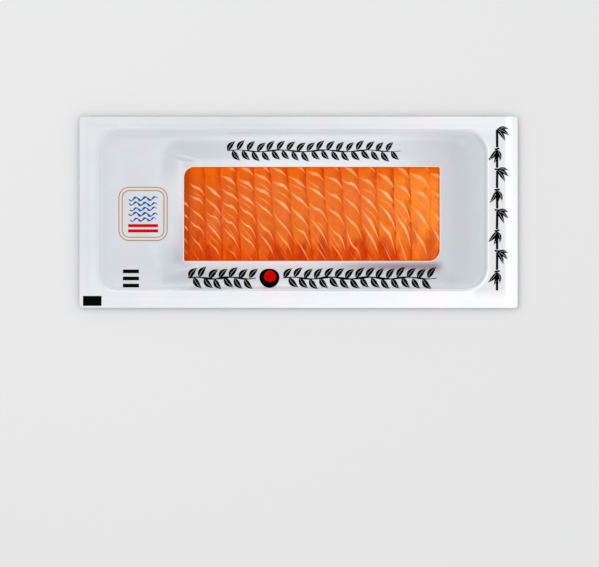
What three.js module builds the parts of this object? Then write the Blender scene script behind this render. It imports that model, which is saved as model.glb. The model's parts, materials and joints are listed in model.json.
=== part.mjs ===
// A flat vacuum pack of smoked salmon slices, lying on its back with its window up.
//
// A shallow silver tray carries a slab of shingled slices. A printed film is sealed to the tray's flange,
// drawn down onto the pocket floor and up over the slab, and a clear film closes the window in it. On a
// real pack the printed and the clear film are one sheet, which here parts where the print stops.
//
// Millimetres, +X along the pack and +Z up. The origin is the middle of the pack's underside.

import * as THREE from 'three'
import { LoftGeometry } from 'three/addons/geometries/LoftGeometry.js'

// Outlines seen from above. Corner radii run anticlockwise from the corner at high X and high Y.
const PACK = { x: [-150, 150], y: [-65.5, 65.5], radii: [1.5, 1.5, 1.5, 1.5] }
const POCKET = { x: [-137.3, 129.6], y: [-53.6, 56.3], radii: [16, 13.5, 13.5, 16] }
const SLAB = { x: [-83, 103], y: [-39.3, 37.7], radii: [3, 3, 3, 3] }
const WINDOW = { x: [-78.2, 96.4], y: [-33.3, 30.8], radii: [0.8, 7, 0.8, 7.5] }

// Heights and thicknesses
const TRAY_SKIN = 0.5
const FILM_SKIN = 0.4
const POCKET_DEPTH = 2.9
const SLAB_HEIGHT = 12
const CLEARANCE = 0.3
const LEAST_RADIUS = 0.5

// The film's path between flange, pocket floor and slab
const POCKET_WALL_RUN = 1.8
const SHOULDER_INSET = 1.5
const SKIRT_RUN = 11
const SKIRT_POWER = 1.7
const SKIRT_STEPS = 5
const CROWN_SHARES = [0.15, 0.4, 0.7]

// The slab's crown: its ends are thinner than its middle, and its edges are rolled over
const LEFT_END = { share: 0.6, ramp: 17 }
const RIGHT_END = { share: 0.55, ramp: 27 }
const EDGE_ROLL = 5
const EDGE_SHARE = 0.5

// The slices, each lying with its thin left edge over the slice before it
const SLICE_COUNT = 15
const FIRST_EDGE = -74.6
const PITCH = { least: 10.85, swell: 1.25 }
const SLICE_LEAN_DEGREES = 26
const SLICE_GAP = 0.6
const GROOVE_DEPTH = 0.9
const LIP_SHARE = 0.35
const EDGE_WAVER = { size: 0.35, perMillimetre: 0.21, perSlice: 1.7 }
const EDGE_DRIFT = 3.2
const SURFACE_FALL_POWER = 1.5
const LENGTH_VARIATION = { size: 0.8, perSlice: 2.4 }

// How finely the surfaces are divided
const CORNER_STEPS = 5
const LONG_SIDE_STEPS = 14
const SHORT_SIDE_STEPS = 5
const SLICE_STATIONS = 14
const STRIP_SHARES = [0, 0.1, 0.3, 0.55, 0.8, 1]
const PANE_ROWS = 4
const PANE_SHARES = [0.1, 0.35, 0.6, 0.92]
const GROOVE_SHARE = 0.92
const GROOVE_SPREAD = 0.16
const PANE_DIP = 0.4

const trayTop = TRAY_SKIN
const flangeTop = POCKET_DEPTH + TRAY_SKIN
const slabBottom = trayTop + CLEARANCE
const slabMiddleY = (SLAB.y[0] + SLAB.y[1]) / 2

const { lerp, smoothstep, degToRad } = THREE.MathUtils

/** The rounded rectangle moved outwards by a distance, or inwards by a negative one. */
function outset (box, distance) {
  return {
    x: [box.x[0] - distance, box.x[1] + distance],
    y: [box.y[0] - distance, box.y[1] + distance],
    radii: box.radii.map((radius) => Math.max(radius + distance, LEAST_RADIUS))
  }
}

/** Step i of a count as a share of a length, with the steps closer together towards both ends. */
function eased (i, count) {
  return 0.5 - 0.5 * Math.cos(Math.PI * i / count)
}

/** The points of one corner's arc of a rounded rectangle. Corner 0 is at high X and high Y. */
function cornerArc (box, corner) {
  const radius = box.radii[corner]
  const atHighX = corner === 0 || corner === 3
  const atHighY = corner < 2
  const centreX = atHighX ? box.x[1] - radius : box.x[0] + radius
  const centreY = atHighY ? box.y[1] - radius : box.y[0] + radius
  return Array.from({ length: CORNER_STEPS + 1 }, (_, step) => {
    const angle = (corner + step / CORNER_STEPS) * Math.PI / 2
    return new THREE.Vector3(centreX + radius * Math.cos(angle), centreY + radius * Math.sin(angle), 0)
  })
}

/** A rounded rectangle's points, anticlockwise, at the height that heightAt gives for each. */
function ring (box, heightAt) {
  const arcs = [0, 1, 2, 3].map((corner) => cornerArc(box, corner))
  const points = arcs.flatMap((arc, corner) => {
    const steps = corner % 2 === 0 ? LONG_SIDE_STEPS : SHORT_SIDE_STEPS
    const from = arc[CORNER_STEPS]
    const to = arcs[(corner + 1) % 4][0]
    const side = Array.from({ length: steps - 1 }, (_, i) => from.clone().lerp(to, eased(i + 1, steps)))
    return [...arc, ...side]
  })
  points.forEach((point, index) => {
    point.z = heightAt(point, index)
  })
  return points
}

/** A ring at one height. */
function levelRing (box, height) {
  return ring(box, () => height)
}

/** A quarter-round roll: 1 beyond the roll's width from an edge, falling to EDGE_SHARE at the edge. */
function rolled (distanceFromEdge, width) {
  const into = 1 - THREE.MathUtils.clamp(distanceFromEdge / width, 0, 1)
  return lerp(EDGE_SHARE, 1, Math.sqrt(1 - into * into))
}

/** The slab's share of its full height along its length. */
function lengthwiseShare (x) {
  const left = lerp(LEFT_END.share, 1, smoothstep(x, SLAB.x[0], SLAB.x[0] + LEFT_END.ramp))
  const right = lerp(1, RIGHT_END.share, smoothstep(x, SLAB.x[1] - RIGHT_END.ramp, SLAB.x[1]))
  return left * right
}

/** The height of the slab's smooth upper surface, before the slices' steps are cut into it. */
function slabTop (x, y) {
  const endRoll = rolled(Math.min(x - SLAB.x[0], SLAB.x[1] - x), EDGE_ROLL / 2)
  const sideRoll = rolled(Math.min(y - SLAB.y[0], SLAB.y[1] - y), EDGE_ROLL)
  return slabBottom + SLAB_HEIGHT * lengthwiseShare(x) * endRoll * sideRoll
}

/** Where each slice's left edge lies on the slab's middle line, with the slab's right end last. */
function sliceEdges () {
  const edges = [SLAB.x[0], FIRST_EDGE]
  const between = SLICE_COUNT - 2
  for (let i = 0; i < between; i++) {
    const swell = PITCH.swell * Math.sin(Math.PI * (i + 0.5) / between)
    edges.push(edges[edges.length - 1] + PITCH.least + swell)
  }
  return [...edges, SLAB.x[1]]
}

/** How far an edge drifts along X at a place across the pack: most in mid-slab, nothing at its ends. */
function drift (edgeX, y) {
  const along = THREE.MathUtils.clamp((edgeX - WINDOW.x[0]) / (WINDOW.x[1] - WINDOW.x[0]), 0, 1)
  const across = (slabMiddleY - y) / (SLAB.y[1] - slabMiddleY)
  return EDGE_DRIFT * Math.sin(Math.PI * along) * across
}

/** The tray: one skin from the pocket floor up to the flange, with its underside on the ground. */
function trayGeometry () {
  const middle = new THREE.Vector3((POCKET.x[0] + POCKET.x[1]) / 2, (POCKET.y[0] + POCKET.y[1]) / 2, 0)
  const tip = (height) => levelRing(POCKET, height).map(() => middle.clone().setZ(height))
  const floor = outset(POCKET, -POCKET_WALL_RUN)
  const under = [levelRing(floor, 0), levelRing(POCKET, POCKET_DEPTH), levelRing(PACK, POCKET_DEPTH)]
  const above = [levelRing(PACK, flangeTop), levelRing(POCKET, flangeTop), levelRing(floor, trayTop)]
  return new LoftGeometry([tip(0), ...under, ...above, tip(trayTop)])
}

/** The film's rings from the pack's edge in to the window's, for its underside or, lifted, its top. */
function filmRings (lift) {
  const panel = trayTop + CLEARANCE + lift
  const sealed = flangeTop + CLEARANCE + lift
  const onSlab = (point) => slabTop(point.x, point.y) + CLEARANCE + lift
  const shoulderBox = outset(SLAB, -SHOULDER_INSET)
  const shoulder = ring(shoulderBox, onSlab)
  const skirt = Array.from({ length: SKIRT_STEPS }, (_, i) => {
    const share = 1 - i / SKIRT_STEPS
    const height = (point, index) => lerp(panel, shoulder[index].z, (1 - share) ** SKIRT_POWER)
    return ring(outset(shoulderBox, SKIRT_RUN * share), height)
  })
  const windowEdge = ring(WINDOW, onSlab)
  const crown = CROWN_SHARES.map((share) => shoulder.map((point, index) => {
    const between = point.clone().lerp(windowEdge[index], share)
    return between.setZ(onSlab(between))
  }))
  return [
    levelRing(PACK, sealed),
    levelRing(POCKET, sealed),
    levelRing(outset(POCKET, -POCKET_WALL_RUN), panel),
    ...skirt,
    shoulder,
    ...crown,
    windowEdge
  ]
}

/** The printed film: one skin with the window's opening in it. */
function printedFilmGeometry () {
  const under = filmRings(0).reverse()
  return new LoftGeometry([...under, ...filmRings(FILM_SKIN), under[0]])
}

/** How far the window's rounded corners pull its outline in at a distance from the nearer end. */
function cornerCut (radius, distanceFromEnd) {
  const into = Math.max(radius - distanceFromEnd, 0)
  return radius - Math.sqrt(Math.max(radius * radius - into * into, 0))
}

/** The clear film: a skin drawn down a little into the groove between every two slices. */
function clearFilmGeometry () {
  const pane = outset(WINDOW, -CLEARANCE)
  const [highRight, highLeft, lowLeft, lowRight] = pane.radii
  const edges = sliceEdges()
  const grooves = edges.slice(1, -1)
  const cornerShares = Array.from({ length: CORNER_STEPS }, (_, i) => {
    return 1 - Math.cos(i / CORNER_STEPS * Math.PI / 2)
  })
  const strips = grooves.flatMap((edge, i) => PANE_SHARES.map((share) => lerp(edge, edges[i + 2], share)))
  const columns = [
    ...cornerShares.map((share) => pane.x[0] + share * highLeft),
    ...strips.filter((x) => x > pane.x[0] + highLeft && x < pane.x[1] - lowRight),
    ...cornerShares.map((share) => pane.x[1] - share * lowRight).reverse()
  ]
  const dip = (x) => grooves.reduce((deepest, edge, i) => {
    const pitch = i > 0 ? edge - grooves[i - 1] : PITCH.least
    const away = (x - edge) / pitch + 1 - GROOVE_SHARE
    return Math.max(deepest, PANE_DIP * Math.exp(-((away / GROOVE_SPREAD) ** 2)))
  }, 0)
  const sections = columns.map((x) => {
    const fromLeft = x - pane.x[0]
    const fromRight = pane.x[1] - x
    const low = pane.y[0] + Math.max(cornerCut(lowLeft, fromLeft), cornerCut(lowRight, fromRight))
    const high = pane.y[1] - Math.max(cornerCut(highLeft, fromLeft), cornerCut(highRight, fromRight))
    const under = Array.from({ length: PANE_ROWS + 1 }, (_, row) => {
      const y = lerp(low, high, row / PANE_ROWS)
      const at = x + drift(x, y)
      return new THREE.Vector3(at, y, slabTop(at, y) + CLEARANCE - dip(x))
    })
    const above = under.map((point) => point.clone().setZ(point.z + FILM_SKIN)).reverse()
    return [...under, ...above]
  })
  return new LoftGeometry(sections, { capStart: true, capEnd: true })
}

/** How far a slice's sloping underside runs along X as it drops by a height. */
function slopeRun (height) {
  return height / Math.tan(degToRad(SLICE_LEAN_DEGREES))
}

/** Where the sloping underside that starts at an edge in mid-slab comes out of the slab's top at y. */
function edgeOnTop (edgeX, y) {
  const start = slabTop(edgeX, slabMiddleY)
  const once = edgeX + slopeRun(start - slabTop(edgeX, y))
  return edgeX + slopeRun(start - slabTop(once, y))
}

/** How far a slice's edge wavers along X at a place across the pack. */
function waver (index, y) {
  return EDGE_WAVER.size * Math.sin(EDGE_WAVER.perMillimetre * y + EDGE_WAVER.perSlice * index)
}

/** One slice's outline at a place across the pack, clockwise from its upper left edge. */
function sliceSection (edges, index, y) {
  const isFirst = index === 0
  const isLast = index === SLICE_COUNT - 1
  const edgeAt = (i) => edges[i] + drift(edges[i], y) + waver(i, y)
  const footAt = (i) => edgeAt(i) + slopeRun(slabTop(edgeAt(i), slabMiddleY) - slabBottom)
  const left = isFirst ? SLAB.x[0] : edgeOnTop(edgeAt(index), y)
  const right = isLast ? SLAB.x[1] : edgeOnTop(edgeAt(index + 1), y) - SLICE_GAP
  const strip = STRIP_SHARES.map((share) => {
    const x = lerp(left, right, share)
    const lip = isFirst ? 0 : LIP_SHARE * Math.max(1 - share / STRIP_SHARES[1], 0)
    const fall = isLast ? 0 : share ** SURFACE_FALL_POWER
    return new THREE.Vector3(x, y, slabTop(x, y) - GROOVE_DEPTH * (lip + fall))
  })
  const footRight = isLast ? SLAB.x[1] : footAt(index + 1) - SLICE_GAP
  const footLeft = isFirst ? SLAB.x[0] : footAt(index)
  return [...strip, new THREE.Vector3(footRight, y, slabBottom), new THREE.Vector3(footLeft, y, slabBottom)]
}

/** One slice, lofted across the pack, with its stations closer together towards its rolled ends. */
function sliceGeometry (edges, index) {
  const shorter = LENGTH_VARIATION.size * (1 + Math.sin(LENGTH_VARIATION.perSlice * index)) / 2
  const [low, high] = [SLAB.y[0] + shorter, SLAB.y[1] - shorter]
  const sections = Array.from({ length: SLICE_STATIONS + 1 }, (_, station) => {
    const y = lerp(SLAB.y[0], SLAB.y[1], eased(station, SLICE_STATIONS))
    return sliceSection(edges, index, THREE.MathUtils.clamp(y, low, high))
  })
  return new LoftGeometry(sections, { capStart: true, capEnd: true })
}

const trayMaterial = new THREE.MeshStandardMaterial({ color: '#dcdfe2', roughness: 0.34, metalness: 0.35 })
const printedMaterial = new THREE.MeshStandardMaterial({ color: '#d9dce0', roughness: 0.3, metalness: 0.3 })
const salmonMaterial = new THREE.MeshStandardMaterial({ color: '#e66d2c', roughness: 0.42, metalness: 0 })
const clearMaterial = new THREE.MeshStandardMaterial({
  color: '#f4f6f7', roughness: 0.08, metalness: 0, transparent: true, opacity: 0.2
})

/** A mesh with the name of its sub-part. */
function named (name, geometry, material) {
  const mesh = new THREE.Mesh(geometry, material)
  mesh.name = name
  return mesh
}

const pack = new THREE.Group()
pack.add(named('bottom_web', trayGeometry(), trayMaterial))

const slab = new THREE.Group()
const edges = sliceEdges()
for (let i = 0; i < SLICE_COUNT; i++) {
  const name = 'slice_' + String(i + 1).padStart(2, '0')
  slab.add(named(name, sliceGeometry(edges, i), salmonMaterial))
}
pack.add(slab)

pack.add(named('top_film', printedFilmGeometry(), printedMaterial))
pack.add(named('window_film', clearFilmGeometry(), clearMaterial))

export default pack
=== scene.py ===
"""A flat vacuum pack of smoked salmon slices, lying on its back with its window up.

A silver tray carries a slab of shingled slices. A printed film is sealed to the tray's flange, drawn down
onto the pocket floor and up over the slab, and a clear film closes its window. Lengths are in metres, with
+X along the pack and +Z up, and are written as millimetres times MM where nothing else is said.
"""

import json
import logging
import math
from dataclasses import dataclass, field, replace
from enum import Enum
from typing import Any, Sequence

import bpy
import numpy as np
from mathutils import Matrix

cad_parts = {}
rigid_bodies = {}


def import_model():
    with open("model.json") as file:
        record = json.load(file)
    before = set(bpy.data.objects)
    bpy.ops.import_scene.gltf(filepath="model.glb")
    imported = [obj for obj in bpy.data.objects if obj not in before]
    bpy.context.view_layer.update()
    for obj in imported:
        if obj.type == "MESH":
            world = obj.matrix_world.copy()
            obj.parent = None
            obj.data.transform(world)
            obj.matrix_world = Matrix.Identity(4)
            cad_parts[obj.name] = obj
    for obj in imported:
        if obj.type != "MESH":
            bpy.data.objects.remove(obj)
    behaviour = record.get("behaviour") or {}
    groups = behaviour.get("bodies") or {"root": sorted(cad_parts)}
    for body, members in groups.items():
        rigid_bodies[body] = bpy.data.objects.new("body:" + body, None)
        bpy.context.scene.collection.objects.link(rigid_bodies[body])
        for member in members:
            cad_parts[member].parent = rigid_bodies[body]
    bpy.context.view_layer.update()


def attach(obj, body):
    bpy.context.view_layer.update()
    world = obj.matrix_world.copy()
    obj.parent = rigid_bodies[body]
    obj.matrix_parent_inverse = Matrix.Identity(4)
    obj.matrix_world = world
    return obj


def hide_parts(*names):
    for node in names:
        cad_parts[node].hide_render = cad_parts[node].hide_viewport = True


LOG = logging.getLogger("salmon_pack")
MM = 0.001
BODY = "root"

Points = np.ndarray
Draw = np.random.Generator
Piece = bpy.types.Object
Pair = tuple[float, float]
Triple = tuple[float, float, float]
# A colour's red, green and blue, up to 255.
Rgb = tuple[int, int, int]
# A flat shape's points, and its faces as rows of point numbers.
Shape = tuple[Points, Points]


# ---- numbers


def mm(*values: float) -> tuple[float, ...]:
    """Lengths in metres, from millimetres."""
    return tuple(value * MM for value in values)


def lerp(low: Any, high: Any, share: Any) -> Any:
    """A value at a share of the way from low to high."""
    return low + (high - low) * share


def smoothstep(value: Any, low: float = 0.0, high: float = 1.0) -> Any:
    """A share that eases from 0 at low to 1 at high."""
    share = np.clip((value - low) / (high - low), 0.0, 1.0)
    return share * share * (3.0 - 2.0 * share)


def hump(value: Any, rise: Pair, fall: Pair) -> Any:
    """A share that eases from 0 to 1 over the rise, and back to 0 over the fall."""
    return smoothstep(value, *rise) * (1.0 - smoothstep(value, *fall))


def bell(distance: Points, width: float) -> Points:
    """A bell curve: 1 at no distance, and almost nothing beyond twice its width."""
    return np.exp(-((distance / width) ** 2))


def linear(srgb: Rgb) -> tuple[float, ...]:
    """The linear RGBA of a colour."""
    parts = [c / 255.0 for c in srgb]
    return (*[p / 12.92 if p <= 0.04045 else ((p + 0.055) / 1.055) ** 2.4 for p in parts], 1.0)


def ripples(x: Points, y: Points, seed: int, length: float, count: int = 7) -> Points:
    """A gentle uneven surface, from -1 to 1: a sum of sine waves in drawn directions.

    Args:
        x: Places along X.
        y: Places along Y.
        seed: The seed of the drawn directions and phases.
        length: The typical wavelength.
        count: How many waves are summed.

    Returns:
        The heights at the places.
    """
    shortest, longest = 0.6, 1.6
    draw = np.random.default_rng(seed)
    total = np.zeros(np.broadcast(x, y).shape)
    for _ in range(count):
        turn = draw.uniform(0.0, math.tau)
        wave = math.tau / (length * draw.uniform(shortest, longest))
        total += np.sin(wave * (x * math.cos(turn) + y * math.sin(turn)) + draw.uniform(0.0, math.tau))
    return total / count


@dataclass(frozen=True)
class Streak:
    """A soft streak: how far off its middle lies, and its width, in millimetres."""

    middle: float
    width: float

    def share(self, distance: Points) -> Points:
        """How strong the streak is at each distance in metres."""
        return bell(distance - self.middle * MM, self.width * MM)


@dataclass(frozen=True)
class Reach:
    """A soft-ended reach: where it eases in and where it eases out, in millimetres."""

    rise: Pair
    fall: Pair

    def share(self, place: Points) -> Points:
        """How strong the reach is at each place in metres."""
        return hump(place, mm(*self.rise), mm(*self.fall))


# ---- outlines


@dataclass(frozen=True)
class RoundedBox:
    """A rounded rectangle seen from above, with corner radii anticlockwise from high X and high Y."""

    x: Pair
    y: Pair
    radii: tuple[float, ...]
    corner_steps: int = 20
    long_steps: int = 170
    short_steps: int = 64
    least_radius: float = 0.5 * MM

    def outset(self, distance: float) -> "RoundedBox":
        """The same outline moved outwards, or inwards by a negative distance."""
        return replace(
            self,
            x=(self.x[0] - distance, self.x[1] + distance),
            y=(self.y[0] - distance, self.y[1] + distance),
            radii=tuple(max(radius + distance, self.least_radius) for radius in self.radii),
        )

    def ring(self) -> Points:
        """The outline's points, anticlockwise. Boxes with the same steps have as many.

        Returns:
            The points as rows of x and y.
        """
        arcs = [self._arc(corner) for corner in range(4)]
        parts = []
        for corner, arc in enumerate(arcs):
            steps = self.long_steps if corner % 2 == 0 else self.short_steps
            share = np.arange(1, steps)[:, None] / steps
            parts += [arc, lerp(arc[-1], arcs[(corner + 1) % 4][0], share)]
        return np.vstack(parts)

    def _arc(self, corner: int) -> Points:
        """One corner's arc.

        Args:
            corner: The corner's number, anticlockwise from high X and high Y.

        Returns:
            The arc's points as rows of x and y.
        """
        radius = self.radii[corner]
        centre_x = self.x[1] - radius if corner in (0, 3) else self.x[0] + radius
        centre_y = self.y[1] - radius if corner < 2 else self.y[0] + radius
        turn = (corner + np.linspace(0.0, 1.0, self.corner_steps + 1)) * math.pi / 2
        return np.stack([centre_x + radius * np.cos(turn), centre_y + radius * np.sin(turn)], axis=1)

    def inside(self, x: Points, y: Points) -> Points:
        """How far places lie inside the straight sides, negative outside."""
        return np.minimum.reduce([x - self.x[0], self.x[1] - x, y - self.y[0], self.y[1] - y])

    def outside(self, x: Points, y: Points) -> Points:
        """How far places lie from the straight-sided box, nothing inside it."""
        aside = np.maximum(np.maximum(self.x[0] - x, x - self.x[1]), 0.0)
        return np.hypot(aside, np.maximum(np.maximum(self.y[0] - y, y - self.y[1]), 0.0))


def box_mm(x: Pair, y: Pair, radii: Sequence[float]) -> RoundedBox:
    """A rounded box from sizes in millimetres."""
    return RoundedBox(mm(*x), mm(*y), mm(*radii))


# ---- meshes


def grid_faces(rows: int, columns: int, wrap: bool = False) -> Points:
    """The four-sided faces of a grid of points, stored row by row.

    Args:
        rows: How many rows of points there are.
        columns: How many points are in a row.
        wrap: Whether a row's last point joins its first.

    Returns:
        One row of four point numbers for each face.
    """
    row, column = np.meshgrid(np.arange(rows - 1), np.arange(columns if wrap else columns - 1), indexing="ij")
    following = (column + 1) % columns
    corners = [(row, column), (row, following), (row + 1, following), (row + 1, column)]
    return np.stack([r * columns + c for r, c in corners], axis=-1).reshape(-1, 4)


def linked(name: str, data: bpy.types.ID) -> Piece:
    """A new object of a mesh, light or camera, linked to the scene."""
    made = bpy.data.objects.new(name, data)
    bpy.context.scene.collection.objects.link(made)
    return made


def mesh_object(
    name: str,
    points: Points,
    faces: Sequence,
    material: bpy.types.Material | None = None,
    smooth: bool = True,
) -> Piece:
    """A mesh object at the origin, linked to the scene.

    Args:
        name: The name of the object and its mesh.
        points: The points as rows of x, y and z.
        faces: The point numbers of each face.
        material: Its material, if it has one yet.
        smooth: Whether it is shaded smooth.

    Returns:
        The object.
    """
    mesh = bpy.data.meshes.new(name)
    rows = [list(map(int, face)) for face in faces]
    mesh.from_pydata(np.asarray(points, float).tolist(), [], rows)
    mesh.validate()
    mesh.polygons.foreach_set("use_smooth", np.full(len(mesh.polygons), smooth))
    mesh.update()
    if material:
        mesh.materials.append(material)
    return linked(name, mesh)


def store(target: Piece, layers: dict[str, Points]) -> None:
    """Stores one number for each point of a mesh, in each of the named layers."""
    for name, values in layers.items():
        attribute = target.data.attributes.new(name, "FLOAT", "POINT")
        attribute.data.foreach_set("value", np.asarray(values, np.float32).ravel())


def add_solidify(target: Piece, thickness: float) -> None:
    """Gives a sheet its thickness, below the face that it was made with.

    Args:
        target: The sheet.
        thickness: Its thickness.
    """
    modifier = target.modifiers.new("Thickness", "SOLIDIFY")
    modifier.thickness = thickness
    modifier.offset = -1.0
    modifier.use_even_offset = False


def frozen(target: Piece, name: str) -> Piece:
    """A plain mesh object of what an object's modifiers make of it.

    Args:
        target: The object, which is removed.
        name: The new object's name.

    Returns:
        The plain object.
    """
    graph = bpy.context.evaluated_depsgraph_get()
    mesh = bpy.data.meshes.new_from_object(target.evaluated_get(graph), depsgraph=graph)
    mesh.name = name
    bpy.data.objects.remove(target)
    return linked(name, mesh)


def hand_over(piece: Piece, nodes: Sequence[str] = ()) -> None:
    """Attaches a finished piece to the pack's body, hides the CAD nodes that it stands for, and logs its
    faces.

    Args:
        piece: The finished piece.
        nodes: The names of the CAD nodes.
    """
    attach(piece, BODY)
    if nodes:
        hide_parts(*nodes)
    LOG.info("%s: %d faces", piece.name, len(piece.data.polygons))


# ---- node trees


class Graph:
    """A node tree that is built link by link."""

    def __init__(self, tree: bpy.types.NodeTree) -> None:
        """Takes the tree to add to."""
        self.tree = tree

    def add(self, kind: str, inputs: dict | None = None, **settings: Any) -> bpy.types.Node:
        """Adds a node.

        Args:
            kind: The node's type name.
            inputs: A value, or the output socket to link, for each input by name or number.
            settings: The node's own settings.

        Returns:
            The new node.
        """
        node = self.tree.nodes.new(kind)
        for key, value in settings.items():
            setattr(node, key, value)
        for key, value in (inputs or {}).items():
            if isinstance(value, bpy.types.NodeSocket):
                self.tree.links.new(value, node.inputs[key])
            else:
                node.inputs[key].default_value = value
        return node

    def math(self, operation: str, first: Any, second: Any = 0.0, clamp: bool = False) -> Any:
        """The result of a sum on one or two numbers."""
        made = self.add("ShaderNodeMath", {0: first, 1: second}, operation=operation, use_clamp=clamp)
        return made.outputs[0]

    def times(self, first: Any, second: Any) -> Any:
        """The product of two numbers."""
        return self.math("MULTIPLY", first, second)

    def minus(self, first: Any, second: Any) -> Any:
        """The difference of two numbers."""
        return self.math("SUBTRACT", first, second)


@dataclass(frozen=True)
class Noise:
    """Uneven lumps: their size in millimetres, their detail, and how they are squeezed along each axis.

    The fading says how much of the larger lumps' depth the finer ones have.
    """

    size: float
    detail: float = 3.0
    squeeze: Triple = (1.0, 1.0, 1.0)
    fading: float = 0.55


@dataclass(frozen=True)
class Span:
    """A range of numbers, and the range that it is moved to and held within."""

    low: float
    high: float
    least: float = 0.0
    most: float = 1.0


@dataclass(frozen=True)
class Layer:
    """A colour, and the range over which it covers what lies under it."""

    colour: Rgb
    span: Span


@dataclass(frozen=True)
class Dents:
    """A low relief that follows noise: its depth in millimetres, and how strongly it shows."""

    noise: Noise
    depth: float
    strength: float


class Shading(Graph):
    """The shader tree of one material."""

    def __init__(self, name: str) -> None:
        """Makes an empty material.

        Args:
            name: The material's name.
        """
        self.material = bpy.data.materials.new(name)
        self.material.use_nodes = True
        super().__init__(self.material.node_tree)
        self.tree.nodes.clear()
        self.place = self.add("ShaderNodeTexCoord").outputs["Object"]

    def axes(self) -> Any:
        """The place's X, Y and Z."""
        return self.add("ShaderNodeSeparateXYZ", {0: self.place}).outputs

    def attribute(self, name: str) -> Any:
        """The number stored on the mesh under a name."""
        return self.add("ShaderNodeAttribute", attribute_name=name).outputs["Fac"]

    def noise(self, noise: Noise) -> Any:
        """Noise from 0 to 1, with lumps of that size and shape."""
        mapping = self.add("ShaderNodeMapping", {"Vector": self.place, "Scale": noise.squeeze}).outputs[0]
        lumps = {"Scale": 1.0 / (noise.size * MM), "Detail": noise.detail, "Roughness": noise.fading}
        return self.add("ShaderNodeTexNoise", {"Vector": mapping, **lumps}).outputs["Fac"]

    def spread(self, value: Any, span: Span) -> Any:
        """A number moved from one range to another, and held within it."""
        ends = {"From Min": span.low, "From Max": span.high, "To Min": span.least, "To Max": span.most}
        return self.add("ShaderNodeMapRange", {"Value": value, **ends}).outputs["Result"]

    def patches(self, noise: Noise, span: Span) -> Any:
        """Noise moved from one range to another."""
        return self.spread(self.noise(noise), span)

    def mix(self, share: Any, first: Any, second: Any, blend: str = "MIX") -> Any:
        """A colour between two others, each a socket or its three numbers, at a share of the second."""
        ends = [c if isinstance(c, bpy.types.NodeSocket) else linear(c) for c in (first, second)]
        inputs = {0: share, 6: ends[0], 7: ends[1]}
        return self.add("ShaderNodeMix", inputs, data_type="RGBA", blend_type=blend).outputs[2]

    def lay(self, value: Any, layer: Layer, under: Any) -> Any:
        """A layer's colour over another one, at the share that a number gives."""
        return self.mix(self.spread(value, layer.span), under, layer.colour)

    def bump(self, height: Any, dents: Dents, under: Any = None) -> Any:
        """A normal that follows a height.

        Args:
            height: The height, from 0 to 1.
            dents: Its depth and strength.
            under: The normal that it lies on, if any.

        Returns:
            The socket of the normal.
        """
        inputs = {"Height": height, "Distance": dents.depth * MM, "Strength": dents.strength}
        if under is not None:
            inputs["Normal"] = under
        return self.add("ShaderNodeBump", inputs).outputs["Normal"]

    def dented(self, dents: Dents, under: Any = None) -> Any:
        """A normal that follows a relief of its own noise."""
        return self.bump(self.noise(dents.noise), dents, under)

    def principled(self, **inputs: Any) -> Any:
        """A principled surface. Underscores in the names stand for spaces."""
        named = {key.replace("_", " "): value for key, value in inputs.items()}
        return self.add("ShaderNodeBsdfPrincipled", named).outputs[0]

    def finish(self, surface: Any) -> bpy.types.Material:
        """Links the surface to the output and returns the material."""
        self.add("ShaderNodeOutputMaterial", {"Surface": surface})
        return self.material


# ---- the pack's form


@dataclass(frozen=True)
class Crease:
    """A soft fold in the film: a low ridge along a line, fading towards both ends, in millimetres."""

    start: Pair
    end: Pair
    width: float
    height: float

    def lift(self, x: Points, y: Points) -> Points:
        """How far the crease lifts the film.

        Args:
            x, y: The places.

        Returns:
            The lift at each place.
        """
        run = np.subtract(self.end, self.start) * MM
        length = float(np.hypot(*run))
        along = run / length
        from_x, from_y = x - self.start[0] * MM, y - self.start[1] * MM
        travelled = (from_x * along[0] + from_y * along[1]) / length
        aside = from_y * along[0] - from_x * along[1]
        fade = np.clip(4.0 * travelled * (1.0 - travelled), 0.0, 1.0)
        return self.height * MM * fade * bell(aside, self.width * MM)


# Tension folds: where each starts and ends, its width and its height.
CREASES = (
    Crease((-78, -34), (-99, -53), 2.2, 0.34),
    Crease((-80, -40), (-92, -60), 1.5, 0.20),
    Crease((-84, -20), (-108, -34), 3.0, 0.20),
    Crease((-80, 34), (-104, 52), 3.0, 0.08),
    Crease((-84, 12), (-112, 22), 3.6, 0.16),
    Crease((101, 34), (120, 52), 3.0, 0.12),
    Crease((101, -36), (122, -54), 2.4, 0.32),
    Crease((104, 6), (128, -4), 3.4, 0.16),
    Crease((-40, -38), (-52, -56), 1.8, 0.14),
    Crease((34, -38), (46, -55), 1.8, 0.14),
    Crease((20, 38), (34, 55), 2.0, 0.12),
    Crease((-136, 20), (-147, 34), 1.6, 0.12),
    Crease((132, -46), (146, -62), 1.6, 0.14),
)


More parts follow.
